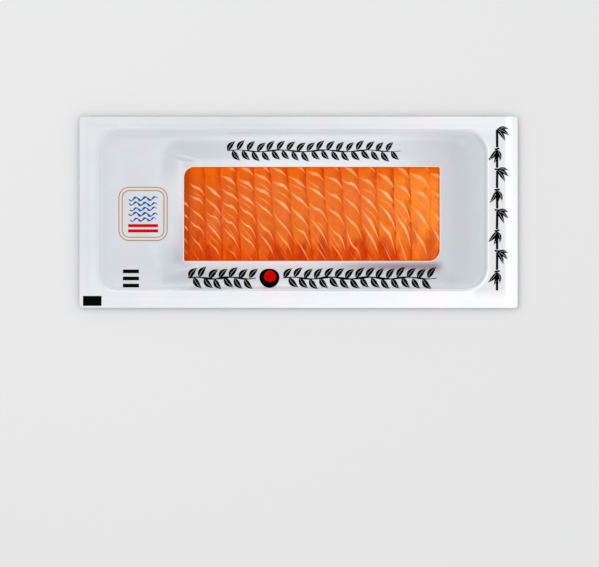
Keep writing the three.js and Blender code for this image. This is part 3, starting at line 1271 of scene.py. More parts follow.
@dataclass
class SalmonSlab:
    """The slab of shingled slices, each with its thin left edge lying over the slice before it."""

    form: PackForm
    finish: "SalmonFinish"
    lean: float = math.radians(26.0)
    gap: float = 0.015 * MM
    strip_steps: int = 40
    side_steps: int = 4
    station_step: float = 0.36 * MM
    hidden_step: float = 1.1 * MM
    # The slices' ends do not all reach the slab's sides.
    length_variation: float = 0.8 * MM
    length_step: float = 2.4
    # Every strip has a thin lip at its left edge and falls towards its right one, less at its lower end.
    groove_depth: float = 0.15 * MM
    low_groove_share: float = 0.35
    low_groove_run: Pair = (12 * MM, 40 * MM)
    lip_share: float = 0.30
    lip_run: float = 0.10
    fall_power: float = 1.5
    # Fat stands a little proud, and is fainter at the lower end.
    fat_lift: float = 0.13 * MM
    low_fat_share: float = 0.42
    low_fat_run: float = 18 * MM
    # A slice's right edge is notched where its lines of fat run out, and painted shade darkens each notch.
    notch_and_shade: Reach = Reach((-0.2, 0.7), (1.2, 5.2))
    notch_depth: float = 0.07 * MM
    notch_inset: float = 0.22 * MM
    notch_reach: Pair = (0.82, 0.946)
    # The seam across the last slice wanders a little.
    seam_share: float = 0.34
    seam_width: float = 0.014
    seam_wander: float = 0.012
    seam_wave: float = 5.5 * MM
    flake_lift: float = 0.07 * MM
    flake_length: float = 7 * MM
    flake_seed: int = 60
    flake_waves: int = 9
    # Under the printed film the slices sink clear of it, and along the window's edge painted shade darkens
    # them.
    hidden_ramp: float = 2.5 * MM
    hidden_sink: float = 0.4 * MM
    rim_shade: float = 0.6
    rim_run: Pair = (0.1 * MM, 1.3 * MM)
    sharp_angle: float = math.radians(50.0)

    def __post_init__(self) -> None:
        """Works out every slice's lines of fat."""
        self.pattern = FatPattern(self.form)
        self.fat = [self.pattern.lines(index) for index in range(self.form.slice_count)]

    def slope_run(self, height: Points) -> Points:
        """How far a slice's sloping underside runs along X as it drops by a height."""
        return height / math.tan(self.lean)

    def notches(self, index: int, y: Points) -> Points:
        """Where a slice's lines of fat run out at its right edge.

        Args:
            index: The slice's number, from 0.
            y: Places along Y.

        Returns:
            The notches' share at each place, from 0 to 1.
        """
        found = np.zeros_like(y)
        for line in self.fat[index]:
            if line.lane[1] == 1.0:
                found = np.maximum(found, line.nick * self.notch_and_shade.share(line.centre(1.0) - y))
        return found

    def edge(self, index: int, y: Points) -> Points:
        """Where a slice's left edge lies, with a small nick wherever the slice below it has a line of fat."""
        nick = self.notch_inset * self.notches(index - 1, y) if index > 0 else 0.0
        return self.form.edge_at(index, y) + nick

    def middle_height(self, edge: Points) -> Points:
        """The height of the slab's top on its middle line, where an edge is."""
        return self.form.slab_top(edge, np.full_like(edge, self.form.middle_y))

    def edge_on_top(self, edge: Points, y: Points) -> Points:
        """Where the sloping underside below an edge in mid-slab comes out of the slab's top."""
        start = self.middle_height(edge)
        once = edge + self.slope_run(start - self.form.slab_top(edge, y))
        return edge + self.slope_run(start - self.form.slab_top(once, y))

    def foot(self, index: int, y: Points) -> Points:
        """Where a slice's sloping underside meets the pocket floor."""
        edge = self.form.edge_at(index, y)
        return edge + self.slope_run(self.middle_height(edge) - self.form.slab_bottom)

    def stations(self, index: int) -> Points:
        """The places along Y that a slice is made at, close together in the window.

        Args:
            index: The slice's number, from 0.

        Returns:
            The places from the lower end to the upper.
        """
        form = self.form
        shorter = self.length_variation * (0.5 + 0.5 * math.sin(self.length_step * index))
        low, high = form.slab.y[0] + shorter, form.slab.y[1] - shorter
        inner = np.arange(form.window.y[0] - MM, form.window.y[1] + MM, self.station_step)
        below, above = (
            np.linspace(end, start, max(int(abs(start - end) / self.hidden_step), 3), endpoint=False)
            for end, start in ((low, inner[0]), (high, inner[-1]))
        )
        return np.concatenate([below, inner, above[::-1]])

    def sides(self, index: int, y: Points) -> tuple[Points, Points, Points, Points]:
        """Where a slice's two sides meet the slab's top and the pocket floor.

        Args:
            index: The slice's number, from 0.
            y: Places along Y.

        Returns:
            The places along X of its left and right side on top, and of its left and right foot.
        """
        left = foot_left = np.full_like(y, self.form.slab.x[0])
        right = foot_right = np.full_like(y, self.form.slab.x[1])
        if index > 0:
            left, foot_left = self.edge_on_top(self.edge(index, y), y), self.foot(index, y)
        if index < self.form.slice_count - 1:
            right = self.edge_on_top(self.edge(index + 1, y), y) - self.gap
            foot_right = self.foot(index + 1, y) - self.gap
        return left, right, foot_left, foot_right

    def markings(self, index: int, share: Points, y: Points, width: float) -> tuple[Points, Points, Points]:
        """A slice's fat, the painted shade of the wedges beside it, and its notches or seam.

        Args:
            index: The slice's number, from 0.
            share: The strip's shares of its width, as a column.
            y: The stations along Y.
            width: The strip's width.

        Returns:
            The cover of fat, the depth of the wedges' painted shade, and the depth of the notches, for each
            point of the strip.
        """
        across = np.broadcast_to(y, (len(share), len(y)))
        fat, shade = np.zeros(across.shape), np.zeros(across.shape)
        for line in self.fat[index]:
            fat = np.maximum(fat, line.cover(share, across, width))
            shade = np.maximum(shade, line.shade(share, across))
        low = self.form.window.y[0]
        fat = fat * lerp(self.low_fat_share, 1.0, smoothstep(across, low, low + self.low_fat_run))
        if index < self.form.slice_count - 1:
            return fat, shade, self.notches(index, y) * smoothstep(share, *self.notch_reach)
        wander = self.seam_wander * np.sin(across / self.seam_wave)
        return fat, shade, self.seam_share * bell(share - self.pattern.seam - wander, self.seam_width)

    def top(self, index: int, share: Points, x: Points, y: Points) -> Points:
        """The height of a slice's strip, without its fat and notches.

        Args:
            index: The slice's number, from 0.
            share: The strip's shares of its width, as a column.
            x: The strip's places along X.
            y: The strip's places along Y.

        Returns:
            The height at each place.
        """
        form = self.form
        lip = self.lip_share * np.maximum(1.0 - share / self.lip_run, 0.0) if index > 0 else 0.0
        fall = share**self.fall_power if index < form.slice_count - 1 else 0.0
        up = y - form.window.y[0]
        groove = self.groove_depth * lerp(self.low_groove_share, 1.0, smoothstep(up, *self.low_groove_run))
        flakes = self.flake_lift * ripples(x, y, self.flake_seed + index, self.flake_length, self.flake_waves)
        hidden = 1.0 - smoothstep(form.window.inside(x, y), -self.hidden_ramp, 0.0)
        return form.slab_top(x, y) - groove * (lip + fall) + flakes - self.hidden_sink * hidden

    def build_slice(self, index: int) -> None:
        """Makes one slice, and hands it over for its CAD node.

        Args:
            index: The slice's number, from 0.
        """
        form, y = self.form, self.stations(index)
        left, right, foot_left, foot_right = self.sides(index, y)
        share = np.linspace(0.0, 1.0, self.strip_steps)[:, None]
        x = lerp(left, right, share)
        across = np.broadcast_to(y, x.shape)
        fat, shade, notch_and_shade = self.markings(index, share, y, float(np.mean(right - left)))
        z = self.top(index, share, x, across) + self.fat_lift * fat - self.notch_depth * notch_and_shade
        down = np.linspace(0.0, 1.0, self.side_steps + 1)[1:, None]
        # Painted shade along the window's edge, joined with the notches and the wedges' painted shade.
        rim = self.rim_shade * (1.0 - smoothstep(form.window.inside(x, across), *self.rim_run))
        dark = np.maximum.reduce([notch_and_shade, shade, rim])
        bottom = form.slab_bottom
        loop_x = [x, lerp(x[-1], foot_right, down), lerp(foot_right, foot_left, down)]
        loop_x.append(lerp(foot_left, x[0], down[:-1]))
        floor = np.full((self.side_steps, len(y)), bottom)
        loop_z = [z, lerp(z[-1], bottom, down), floor, lerp(bottom, z[0], down[:-1])]
        around_x, around_z = np.vstack(loop_x), np.vstack(loop_z)
        around, count = around_x.shape
        points = np.stack([around_x, np.broadcast_to(y, around_x.shape), around_z], axis=-1)
        first = np.arange(around)
        closed = [*grid_faces(count, around, wrap=True), first[::-1], first + (count - 1) * around]
        points = points.transpose(1, 0, 2).reshape(-1, 3)
        piece = mesh_object(f"salmon_slice_{index + 1:02d}", points, closed, self.finish.material())
        self.paint(piece, around, {"fat": fat, "notch_and_shade": dark, "across": share})
        piece.data.set_sharp_from_angle(angle=self.sharp_angle)
        hand_over(piece, [f"slice_{index + 1:02d}"])

    def paint(self, piece: Piece, around: int, layers: dict[str, Points]) -> None:
        """Stores a slice's fat, its notches and painted shade, and its place across the strip as attributes.

        Args:
            piece: The slice.
            around: How many points go round its section.
            layers: The strip's numbers by attribute. Off the strip they are 0, and "across" is 1.
        """
        count = len(piece.data.vertices) // around
        full = {name: np.full((count, around), float(name == "across")) for name in layers}
        for name, values in layers.items():
            full[name][:, : self.strip_steps] = values.T
        store(piece, full)

    def build(self) -> None:
        """Makes every slice."""
        for index in range(self.form.slice_count):
            self.build_slice(index)


# ---- finishes


@dataclass(frozen=True)
class Finish:
    """A finish with a name, whose material is made once."""

    name: str

    def surface(self, shading: Shading) -> Any:
        """The finish's surface, built in the material's tree."""
        raise NotImplementedError(shading)

    def material(self) -> bpy.types.Material:
        """The finish's material, made when it is first asked for.

        Returns:
            The material.
        """
        if self.name in bpy.data.materials:
            return bpy.data.materials[self.name]
        shading = Shading(self.name)
        return shading.finish(self.surface(shading))


@dataclass(frozen=True)
class TrayFinish(Finish):
    """Silver-white laminate: a satin sheen with a faint drawn grain."""

    name: str = "Tray laminate"
    colour: Rgb = (222, 225, 229)
    shade: Rgb = (215, 218, 223)
    clouds: Noise = Noise(30, 4.0)
    cloud_span: Span = Span(0.35, 0.68)
    grain: Dents = Dents(Noise(0.9, 2.0, (0.25, 1.0, 1.0)), 0.05, 0.4)
    dents: Dents = Dents(Noise(11), 0.35, 0.5)
    roughness: Span = Span(0.2, 0.8, 0.30, 0.42)
    metal: float = 0.45
    coat: float = 0.25

    def surface(self, shading: Shading) -> Any:
        """The tray's surface, built in the material's tree."""
        grain = shading.noise(self.grain.noise)
        return shading.principled(
            Base_Color=shading.mix(shading.patches(self.clouds, self.cloud_span), self.shade, self.colour),
            Metallic=self.metal,
            Roughness=shading.spread(grain, self.roughness),
            Coat_Weight=self.coat,
            Normal=shading.bump(grain, self.grain, under=shading.dented(self.dents)),
        )


@dataclass(frozen=True)
class PrintedFilmFinish(Finish):
    """Silver ink under a satin film: whiter on the sealed flange, greyer over the pocket."""

    name: str = "Silver print"
    # The flange pales towards its lower right with painted light.
    flange: Rgb = (213, 215, 217)
    pale: Rgb = (247, 247, 248)
    # The panel darkens towards its left and right ends with painted shade.
    panel_left: Rgb = (205, 208, 211)
    panel: Layer = Layer((223, 226, 229), Span(*mm(-85, -15)))
    panel_right: Layer = Layer((198, 202, 205), Span(*mm(60, 105)))
    # Steep film is paler, partly for its stretch and partly as painted light.
    stretched_and_painted_light: Layer = Layer((247, 247, 248), Span(0.1, 1.0, 0.0, 0.48))
    warm: Rgb = (255, 248, 252)
    cool: Rgb = (243, 251, 255)
    tints: Noise = Noise(22)
    tint_span: Span = Span(0.36, 0.64)
    tint_share: float = 0.6
    # A painted pinkish shade and a painted highlight by the window, and a painted highlight on the ridge.
    painted_pink_shade: Rgb = (184, 154, 162)
    glow: Rgb = (223, 209, 213)
    painted_highlight: Rgb = (255, 255, 255)
    satin: Noise = Noise(16)
    roughness: Span = Span(0.3, 0.7, 0.38, 0.50)
    crinkle: Dents = Dents(Noise(9, 3.0, (0.6, 1.0, 1.0)), 0.22, 0.35)
    fine: Dents = Dents(Noise(0.7, 2.0), 0.03, 0.35)
    metal: float = 0.20
    coat: float = 0.10
    coat_roughness: float = 0.32

    def surface(self, shading: Shading) -> Any:
        """The printed film's surface, coloured by its stored layers, most of them painted light and shade,
        and by its place over the pocket.

        Args:
            shading: The material's tree.

        Returns:
            The socket of the surface.
        """
        mix, attribute, x = shading.mix, shading.attribute, shading.axes()[0]
        sealed = mix(attribute("pale"), self.flange, self.pale)
        panel = shading.lay(x, self.panel_right, shading.lay(x, self.panel, self.panel_left))
        base = shading.lay(attribute("stretch_and_painted_light"), self.stretched_and_painted_light, mix(attribute("panel"), sealed, panel))
        tint = mix(shading.patches(self.tints, self.tint_span), self.warm, self.cool)
        tinted = mix(self.tint_share, base, tint, "MULTIPLY")
        pink_shaded = mix(attribute("painted_pink_shade"), tinted, self.painted_pink_shade, "MULTIPLY")
        glowing = mix(attribute("glow"), pink_shaded, self.glow)
        return shading.principled(
            Base_Color=mix(attribute("painted_highlight"), glowing, self.painted_highlight),
            Metallic=self.metal,
            Roughness=shading.patches(self.satin, self.roughness),
            Coat_Weight=self.coat,
            Coat_Roughness=self.coat_roughness,
            Normal=shading.dented(self.fine, under=shading.dented(self.crinkle)),
        )


@dataclass(frozen=True)
class ClearFilmFinish(Finish):
    """Clear film: what lies under it shows through, with a soft gloss at a slant."""

    name: str = "Clear film"
    tint: Rgb = (255, 255, 255)
    crinkle: Dents = Dents(Noise(6), 0.18, 0.35)
    ior: float = 1.45
    gloss_roughness: float = 0.2
    gloss_share: float = 0.13
    # The gloss of film seen square on, which is left out.
    least_gloss: float = 0.06

    def surface(self, shading: Shading) -> Any:
        """The clear film's surface.

        Args:
            shading: The material's tree.

        Returns:
            The socket of the surface.
        """
        normal = shading.dented(self.crinkle)
        clear = shading.add("ShaderNodeBsdfTransparent", {"Color": linear(self.tint)}).outputs[0]
        gloss_inputs = {"Roughness": self.gloss_roughness, "Normal": normal}
        gloss = shading.add("ShaderNodeBsdfGlossy", gloss_inputs).outputs[0]
        fresnel = shading.add("ShaderNodeFresnel", {"IOR": self.ior, "Normal": normal}).outputs[0]
        slanted = shading.math("SUBTRACT", fresnel, self.least_gloss, clamp=True)
        share = shading.times(slanted, self.gloss_share)
        return shading.add("ShaderNodeMixShader", {0: share, 1: clear, 2: gloss}).outputs[0]


@dataclass(frozen=True)
class SalmonFinish(Finish):
    """Smoked salmon: deep orange flesh with pale lines of fat and a soft wet sheen."""

    name: str = "Smoked salmon"
    # The flesh along the slab, from its left end to its right; the paler, yellower right end is painted
    # light, as if the thin flesh were lit through from the pale tray.
    left: Rgb = (214, 88, 13)
    middle: Layer = Layer((231, 115, 42), Span(*mm(-83, 0)))
    right: Layer = Layer((253, 141, 46), Span(*mm(45, 85)))
    # The bands at the slices' upper and lower ends, whose borders wander.
    wander: Noise = Noise(16, 2.0)
    wander_reach: float = 16 * MM
    top_band: Layer = Layer((234, 101, 2), Span(*mm(18, 30)))
    smears: Noise = Noise(9.5, 2.0, (1.0, 0.5, 1.0))
    smear_span: Span = Span(0.38, 0.62)
    smear_reach: float = 14 * MM
    low_light: Rgb = (230, 84, 0)
    low_dark: Rgb = (194, 51, 0)
    low_fade: Span = Span(*mm(-10, -28))
    low_right_fade: Span = Span(*mm(60, 92), 1.0, 0.65)
    # Fibres, dark blotches, and lighter patches that keep away from the ends.
    fibre: Dents = Dents(Noise(1.6, 3.0, (1.0, 0.22, 1.0)), 0.18, 0.4)
    grain: Layer = Layer((250, 132, 52), Span(0.42, 0.75, 0.0, 0.18))
    blotches: Noise = Noise(7)
    blotch: Layer = Layer((213, 71, 0), Span(0.5, 0.72, 0.0, 0.35))
    lights: Noise = Noise(10, 3.0, (1.0, 0.5, 1.0))
    light_span: Span = Span(0.50, 0.75, 0.0, 0.5)
    light_top: Span = Span(*mm(22, 12))
    light_low: Span = Span(*mm(-24, -12))
    pale: Rgb = (238, 128, 78)
    # Each slice darkens towards its right edge with painted shade, most of all near its ends.
    streak: Rgb = (206, 66, 0)
    streak_run: Span = Span(0.64, 0.97)
    streak_low: Span = Span(*mm(-8, -26), 0.3, 0.95)
    streak_top: Span = Span(*mm(12, 26), 0.0, 0.8)
    # The slab's low left end is darkened with painted shade.
    end: Layer = Layer((172, 54, 0), Span(*mm(-69.5, -77.8), 0.0, 0.75))
    fat: Layer = Layer((255, 156, 92), Span(0.05, 0.55))
    fat_core: Layer = Layer((255, 196, 148), Span(0.55, 0.95, 0.0, 0.9))
    # The notches and the seam, darkened together with the painted shade of the wedges and along the window's
    # edge.
    notch_and_shade: Layer = Layer((204, 66, 0), Span(0.0, 1.0, 0.0, 0.9))
    sheen: Noise = Noise(4, 2.0)
    roughness: Span = Span(0.3, 0.7, 0.38, 0.50)
    dimples: Dents = Dents(Noise(3.5), 0.4, 0.35)
    specular: float = 0.03
    subsurface: float = 0.08
    scatter: float = 1.2 * MM
    scatter_radius: Triple = (1.0, 0.4, 0.2)

    def flesh(self, shading: Shading, x: Any, height: Any, fibre: Any) -> Any:
        """The flesh along the slab, with the bands at the slices' ends, its fibres and its patches.

        Args:
            shading: The material's tree.
            x: The place along X.
            height: The place along Y, with its wander.
            fibre: The noise of the fibres.

        Returns:
            The socket of the colour.
        """
        spread, times, lay = shading.spread, shading.times, shading.lay
        flesh = lay(x, self.right, lay(x, self.middle, self.left))
        flesh = lay(height, self.top_band, flesh)
        smear = shading.patches(self.smears, self.smear_span)
        smeared = shading.minus(height, times(shading.minus(smear, 0.5), self.smear_reach))
        low = times(spread(smeared, self.low_fade), spread(x, self.low_right_fade))
        flesh = shading.mix(low, flesh, shading.mix(smear, self.low_light, self.low_dark))
        flesh = lay(shading.noise(self.blotches), self.blotch, lay(fibre, self.grain, flesh))
        inner = times(spread(height, self.light_top), spread(height, self.light_low))
        return shading.mix(times(shading.patches(self.lights, self.light_span), inner), flesh, self.pale)

    def marked(self, shading: Shading, flesh: Any, x: Any, height: Any) -> Any:
        """The flesh with the painted shade of the slices' right edges and of the slab's left end, the fat,
        and the notches with their painted shade.

        Args:
            shading: The material's tree.
            flesh: The flesh's colour.
            x: The place along X.
            height: The place along Y, with its wander.

        Returns:
            The socket of the colour.
        """
        spread, lay, attribute = shading.spread, shading.lay, shading.attribute
        ends = shading.math("MAXIMUM", spread(height, self.streak_low), spread(height, self.streak_top))
        edge = spread(attribute("across"), self.streak_run)
        flesh = lay(x, self.end, shading.mix(shading.times(edge, ends), flesh, self.streak))
        fatty = lay(attribute("fat"), self.fat_core, lay(attribute("fat"), self.fat, flesh))
        return lay(attribute("notch_and_shade"), self.notch_and_shade, fatty)

    def surface(self, shading: Shading) -> Any:
        """The slices' surface.

        Args:
            shading: The material's tree.

        Returns:
            The socket of the surface.
        """
        x, y, _ = shading.axes()
        wander = shading.times(shading.minus(shading.noise(self.wander), 0.5), self.wander_reach)
        height = shading.math("ADD", y, wander)
        fibre = shading.noise(self.fibre.noise)
        return shading.principled(
            Base_Color=self.marked(shading, self.flesh(shading, x, height, fibre), x, height),
            Roughness=shading.patches(self.sheen, self.roughness),
            Subsurface_Weight=self.subsurface,
            Subsurface_Radius=self.scatter_radius,
            Subsurface_Scale=self.scatter,
            Specular_IOR_Level=self.specular,
            Normal=shading.dented(self.dimples, under=shading.bump(fibre, self.fibre)),
        )


@dataclass(frozen=True)
class InkFinish(Finish):
    """Printed ink: an even colour that is a little thinner here and there."""

    colour: Rgb
    thin: Rgb
    thinning: Noise = Noise(1.4, 4.0)
    thin_span: Span = Span(0.58, 0.80, 0.0, 0.6)
    satin: Noise = Noise(6, 2.0)
    roughness: Span = Span(0.3, 0.7, 0.49, 0.61)
    tooth: Dents = Dents(Noise(0.6, 2.0), 0.02, 0.4)
    specular: float = 0.03

    def surface(self, shading: Shading) -> Any:
        """The ink's surface, built in the material's tree."""
        return shading.principled(
            Base_Color=shading.mix(shading.patches(self.thinning, self.thin_span), self.colour, self.thin),
            Roughness=shading.patches(self.satin, self.roughness),
            Specular_IOR_Level=self.specular,
            Normal=shading.dented(self.tooth),
        )


class Ink(Enum):
    """The inks of the print, and the pale cut edge of the film with its painted glow."""

    BLACK = InkFinish("Black ink", (0, 0, 1), (8, 8, 10))
    RED = InkFinish("Red ink", (204, 0, 0), (214, 34, 26))
    BLUE = InkFinish("Blue ink", (30, 84, 160), (120, 168, 218))
    TAN = InkFinish("Tan ink", (226, 214, 204), (232, 224, 216))
    BROWN = InkFinish("Brown ink", (160, 128, 104), (186, 156, 134))
    CUT_EDGE_GLOW = InkFinish("Cut film glow", (250, 222, 206), (246, 210, 192))


@dataclass(frozen=True)
class FloorFinish(Finish):
    """A plain pale floor."""

    name: str = "Pale floor"
    colour: Rgb = (226, 226, 227)
    roughness: float = 0.9

    def surface(self, shading: Shading) -> Any:
        """The floor's surface, built in the material's tree."""
        return shading.principled(Base_Color=linear(self.colour), Roughness=self.roughness)


# ---- the print


def ribbon(spine: Points, half_width: Any, lanes: int = 4, closed: bool = False) -> Shape:
    """A flat band along a line, in the plane of the print.

    Args:
        spine: The line's points as rows of x and y.
        half_width: Half the band's width, for all points or for each.
        lanes: How many strips it is divided into along its length.
        closed: Whether the line's end joins its start.

    Returns:
        The band's points and its faces, which face up.
    """
    if closed:
        run = np.roll(spine, -1, axis=0) - np.roll(spine, 1, axis=0)
    else:
        run = np.gradient(spine, axis=0)
    run = run / np.maximum(np.hypot(*run.T), 1e-12)[:, None]
    side = np.stack([-run[:, 1], run[:, 0]], axis=1)
    half = np.broadcast_to(half_width, len(spine))[:, None]
    across = np.linspace(1.0, -1.0, lanes + 1)
    flat = spine[None] + across[:, None, None] * (side * half)[None]
    points = np.dstack([flat, np.zeros(flat.shape[:2])]).reshape(-1, 3)
    return points, grid_faces(lanes + 1, len(spine), wrap=closed)[:, ::-1]


def leaf(start: Pair, end: Pair, bow: float, width: float, rib: float) -> Shape:
    """One pointed leaf, left open along its middle rib, from sizes in millimetres.

    Args:
        start: Where it starts.
        end: Where it ends.
        bow: How far its middle is bowed to the left.
        width: Its greatest width.
        rib: The width of the gap along its rib.

    Returns:
        The leaf's points and faces.
    """
    steps, least_half = 24, 0.02
    share = np.linspace(0.0, 1.0, steps)
    run = np.subtract(end, start)
    left = np.array([-run[1], run[0]]) / np.hypot(*run)
    spine = np.array(start) + share[:, None] * run + (bow * np.sin(math.pi * share))[:, None] * left
    swell = np.sin(math.pi * share**0.8) ** 1.1
    centre = 0.25 * width * swell + 0.5 * rib * np.minimum(4.0 * share, 1.0)
    half = np.maximum(0.25 * width * swell - 0.25 * rib, least_half)
    aside = centre[:, None] * left
    return joined([ribbon((spine + side * aside) * MM, half * MM, 2) for side in (1.0, -1.0)])


def joined(parts: Sequence[Shape]) -> Shape:
    """Several flat shapes as one.

    Args:
        parts: The shapes.

    Returns:
        Their points and faces together.
    """
    points, faces, first = [], [], 0
    for part_points, part_faces in parts:
        points.append(part_points)
        faces.append(part_faces + first)
        first += len(part_points)
    return np.vstack(points), np.vstack(faces)


def bar(width: float, height: float, step: float = 0.4) -> Shape:
    """A plain bar about the origin, finely divided, from sizes in millimetres."""
    along = np.linspace(-width / 2, width / 2, max(int(width / step), 2) + 1)
    spine = np.stack([along, np.zeros_like(along)], axis=1)
    return ribbon(spine * MM, height * MM / 2, max(int(height / step), 1))


def disc(radius_x: float, radius_y: float, blunt: float = 0.5) -> Shape:
    """An oval about the origin, with blunt ends, from half sizes in millimetres."""
    turn = np.linspace(0.0, math.pi, 48)
    spine = np.stack([-radius_x * np.cos(turn), np.zeros_like(turn)], axis=1)
    return ribbon(spine * MM, np.maximum(radius_y * np.sin(turn), blunt) * MM, 28)


def moved(shape: Shape, x: float, y: float, turn: float = 0.0) -> Shape:
    """A flat shape turned about the origin and then moved by millimetres."""
    cos, sin = math.cos(turn), math.sin(turn)
    points = shape[0] @ np.array([[cos, sin, 0.0], [-sin, cos, 0.0], [0.0, 0.0, 1.0]])
    return points + np.array([x, y, 0.0]) * MM, shape[1]


class Growing(Graph):
    """A Geometry Nodes tree that is built with named inputs."""

    def __init__(self, name: str, inputs: dict[str, str]) -> None:
        """Makes a tree with a geometry in and out, and an ink.

        Args:
            name: The tree's name.
            inputs: The kind of each other input, by its name.
        """
        super().__init__(bpy.data.node_groups.new(name, "GeometryNodeTree"))
        self.identifiers: dict[str, str] = {}
        interface = self.tree.interface
        for key, kind in {"Geometry": "Geometry", **inputs, "Ink": "Material"}.items():
            made = interface.new_socket(key, in_out="INPUT", socket_type=f"NodeSocket{kind}")
            self.identifiers[key] = made.identifier
        interface.new_socket("Geometry", in_out="OUTPUT", socket_type="NodeSocketGeometry")
        self.given = self.add("NodeGroupInput").outputs

    def close_in_ink(self, geometry: Any) -> None:
        """Makes the instances real, gives them the ink, and links them to the tree's output."""
        real = self.add("GeometryNodeRealizeInstances", {"Geometry": geometry}).outputs[0]
        inked = self.add("GeometryNodeSetMaterial", {"Geometry": real, "Material": self.given["Ink"]})
        self.add("NodeGroupOutput", {0: inked.outputs[0]})

    def vector(self, x: Any, y: Any, z: Any) -> Any:
        """A vector of three numbers or sockets."""
        return self.add("ShaderNodeCombineXYZ", {0: x, 1: y, 2: z}).outputs[0]

    def put_on(self, target: Piece, values: dict[str, Any]) -> None:
        """Adds the tree to an object as a modifier.

        Args:
            target: The object.
            values: The value of each input, by its name.
        """
        modifier = target.modifiers.new(self.tree.name, "NODES")
        modifier.node_group = self.tree
        for key, value in values.items():
            modifier[self.identifiers[key]] = value


@dataclass
class Row:
    """A row of marks: where it runs, how many there are, and how unevenly they stand.

    Places and heights are in millimetres and turns in degrees.
    """

    start: Pair
    end: Pair
    count: int
    tilt: float = 0.0
    jitter: float = 0.0
    sway: float = 0.0
    waves: float = 0.0
    smallest: float = 1.0
    seed: int = 0

    def values(self) -> dict[str, Any]:
        """The row's sizes as inputs of the tree that stands it.

        Returns:
            The value of each input, by its name.
        """
        gaps = max(self.count - 1, 1)
        step = np.subtract(self.end, self.start) / gaps
        return {
            "Start": (self.start[0] * MM, self.start[1] * MM, 0.0),
            "Step": (float(step[0]) * MM, float(step[1]) * MM, 0.0),
            "Count": self.count,
            "Tilt": math.radians(self.tilt),
            "Jitter": math.radians(self.jitter),
            "Sway": self.sway * MM,
            "Turn per mark": math.tau * self.waves / gaps,
            "Smallest": self.smallest,
            "Seed": self.seed,
        }


class RowTree(Growing):
    """Stands marks along a row, turned to either side in turn."""

    INPUTS = {
        "Marks": "Collection",
        **dict.fromkeys(("Start", "Step"), "Vector"),
        **dict.fromkeys(("Count", "Seed"), "Int"),
        **dict.fromkeys(("Tilt", "Jitter", "Sway", "Turn per mark", "Smallest"), "Float"),
    }

    def __init__(self) -> None:
        """Builds the tree."""
        super().__init__("Row of marks", self.INPUTS)
        given = self.given
        steps = {"Count": given["Count"], "Start Location": given["Start"], "Offset": given["Step"]}
        line = self.add("GeometryNodeMeshLine", steps, mode="OFFSET").outputs[0]
        index = self.add("GeometryNodeInputIndex").outputs[0]
        wave = self.math("SINE", self.times(index, given["Turn per mark"]))
        shift = self.vector(0.0, self.times(wave, given["Sway"]), 0.0)
        swayed = self.add("GeometryNodeSetPosition", {"Geometry": line, "Offset": shift}).outputs[0]
        side = self.minus(1.0, self.times(self.math("MODULO", index, 2.0), 2.0))
        jitter = self.random(self.times(given["Jitter"], -1.0), given["Jitter"], index, 1)
        turn = self.math("ADD", self.times(side, given["Tilt"]), jitter)
        size = self.random(given["Smallest"], 1.0, index, 2)
        choice = {"Collection": given["Marks"], "Separate Children": True, "Reset Children": True}
        standing = {
            "Points": swayed,
            "Instance": self.add("GeometryNodeCollectionInfo", choice).outputs[0],
            "Pick Instance": True,
            "Rotation": self.vector(0.0, 0.0, turn),
            "Scale": self.vector(size, size, 1.0),
        }
        self.close_in_ink(self.add("GeometryNodeInstanceOnPoints", standing).outputs[0])

    def random(self, low: Any, high: Any, index: Any, offset: int) -> Any:
        """A drawn number for each mark, from low to high."""
        seed = self.math("ADD", self.given["Seed"], float(offset))
        inputs = {2: low, 3: high, "ID": index, "Seed": seed}
        return self.add("FunctionNodeRandomValue", inputs, data_type="FLOAT").outputs[1]

    def stand(self, name: str, marks: Sequence[Shape], row: Row, ink: bpy.types.Material) -> Piece:
        """A flat mesh with the marks standing along a row.

        Args:
            name: The mesh's name.
            marks: The flat shapes to choose from, in turn.
            row: Where they stand.
            ink: Their material.

        Returns:
            The flat object.
        """
        shapes = bpy.data.collections.new(f"{name} marks")
        for number, (points, faces) in enumerate(marks):
            shape = mesh_object(f"{name}_mark_{number:02d}", points, faces)
            bpy.context.scene.collection.objects.unlink(shape)
            shapes.objects.link(shape)
        carrier = mesh_object(name, np.zeros((0, 3)), [])
        self.put_on(carrier, {"Marks": shapes, **row.values(), "Ink": ink})
        flat = frozen(carrier, name)
        for shape in list(shapes.objects):
            bpy.data.objects.remove(shape)
        bpy.data.collections.remove(shapes)
        return flat


class PressTree(Growing):
    """Lays flat artwork down on the film, just clear of it."""

    DROP_FROM = 50 * MM

    def __init__(self) -> None:
        """Builds the tree."""
        super().__init__("Lay print on film", {"Film": "Object", "Lift": "Float"})
        given = self.given
        film = self.add("GeometryNodeObjectInfo", {"Object": given["Film"]}, transform_space="ORIGINAL")
        place = self.add("GeometryNodeInputPosition").outputs[0]
        above = self.add("ShaderNodeVectorMath", {0: place, 1: (0.0, 0.0, self.DROP_FROM)})
        ray = {
            "Target Geometry": film.outputs["Geometry"],
            "Source Position": above.outputs[0],
            "Ray Direction": (0.0, 0.0, -1.0),
            "Ray Length": 2 * self.DROP_FROM,
        }
        drop = self.add("GeometryNodeRaycast", ray).outputs
        landed = {
            "Geometry": given["Geometry"],
            "Selection": drop["Is Hit"],
            "Position": drop["Hit Position"],
            "Offset": self.vector(0.0, 0.0, given["Lift"]),
        }
        laid = self.add("GeometryNodeSetPosition", landed).outputs[0]
        self.close_in_ink(self.add("GeometryNodeSetShadeSmooth", {"Geometry": laid}).outputs[0])


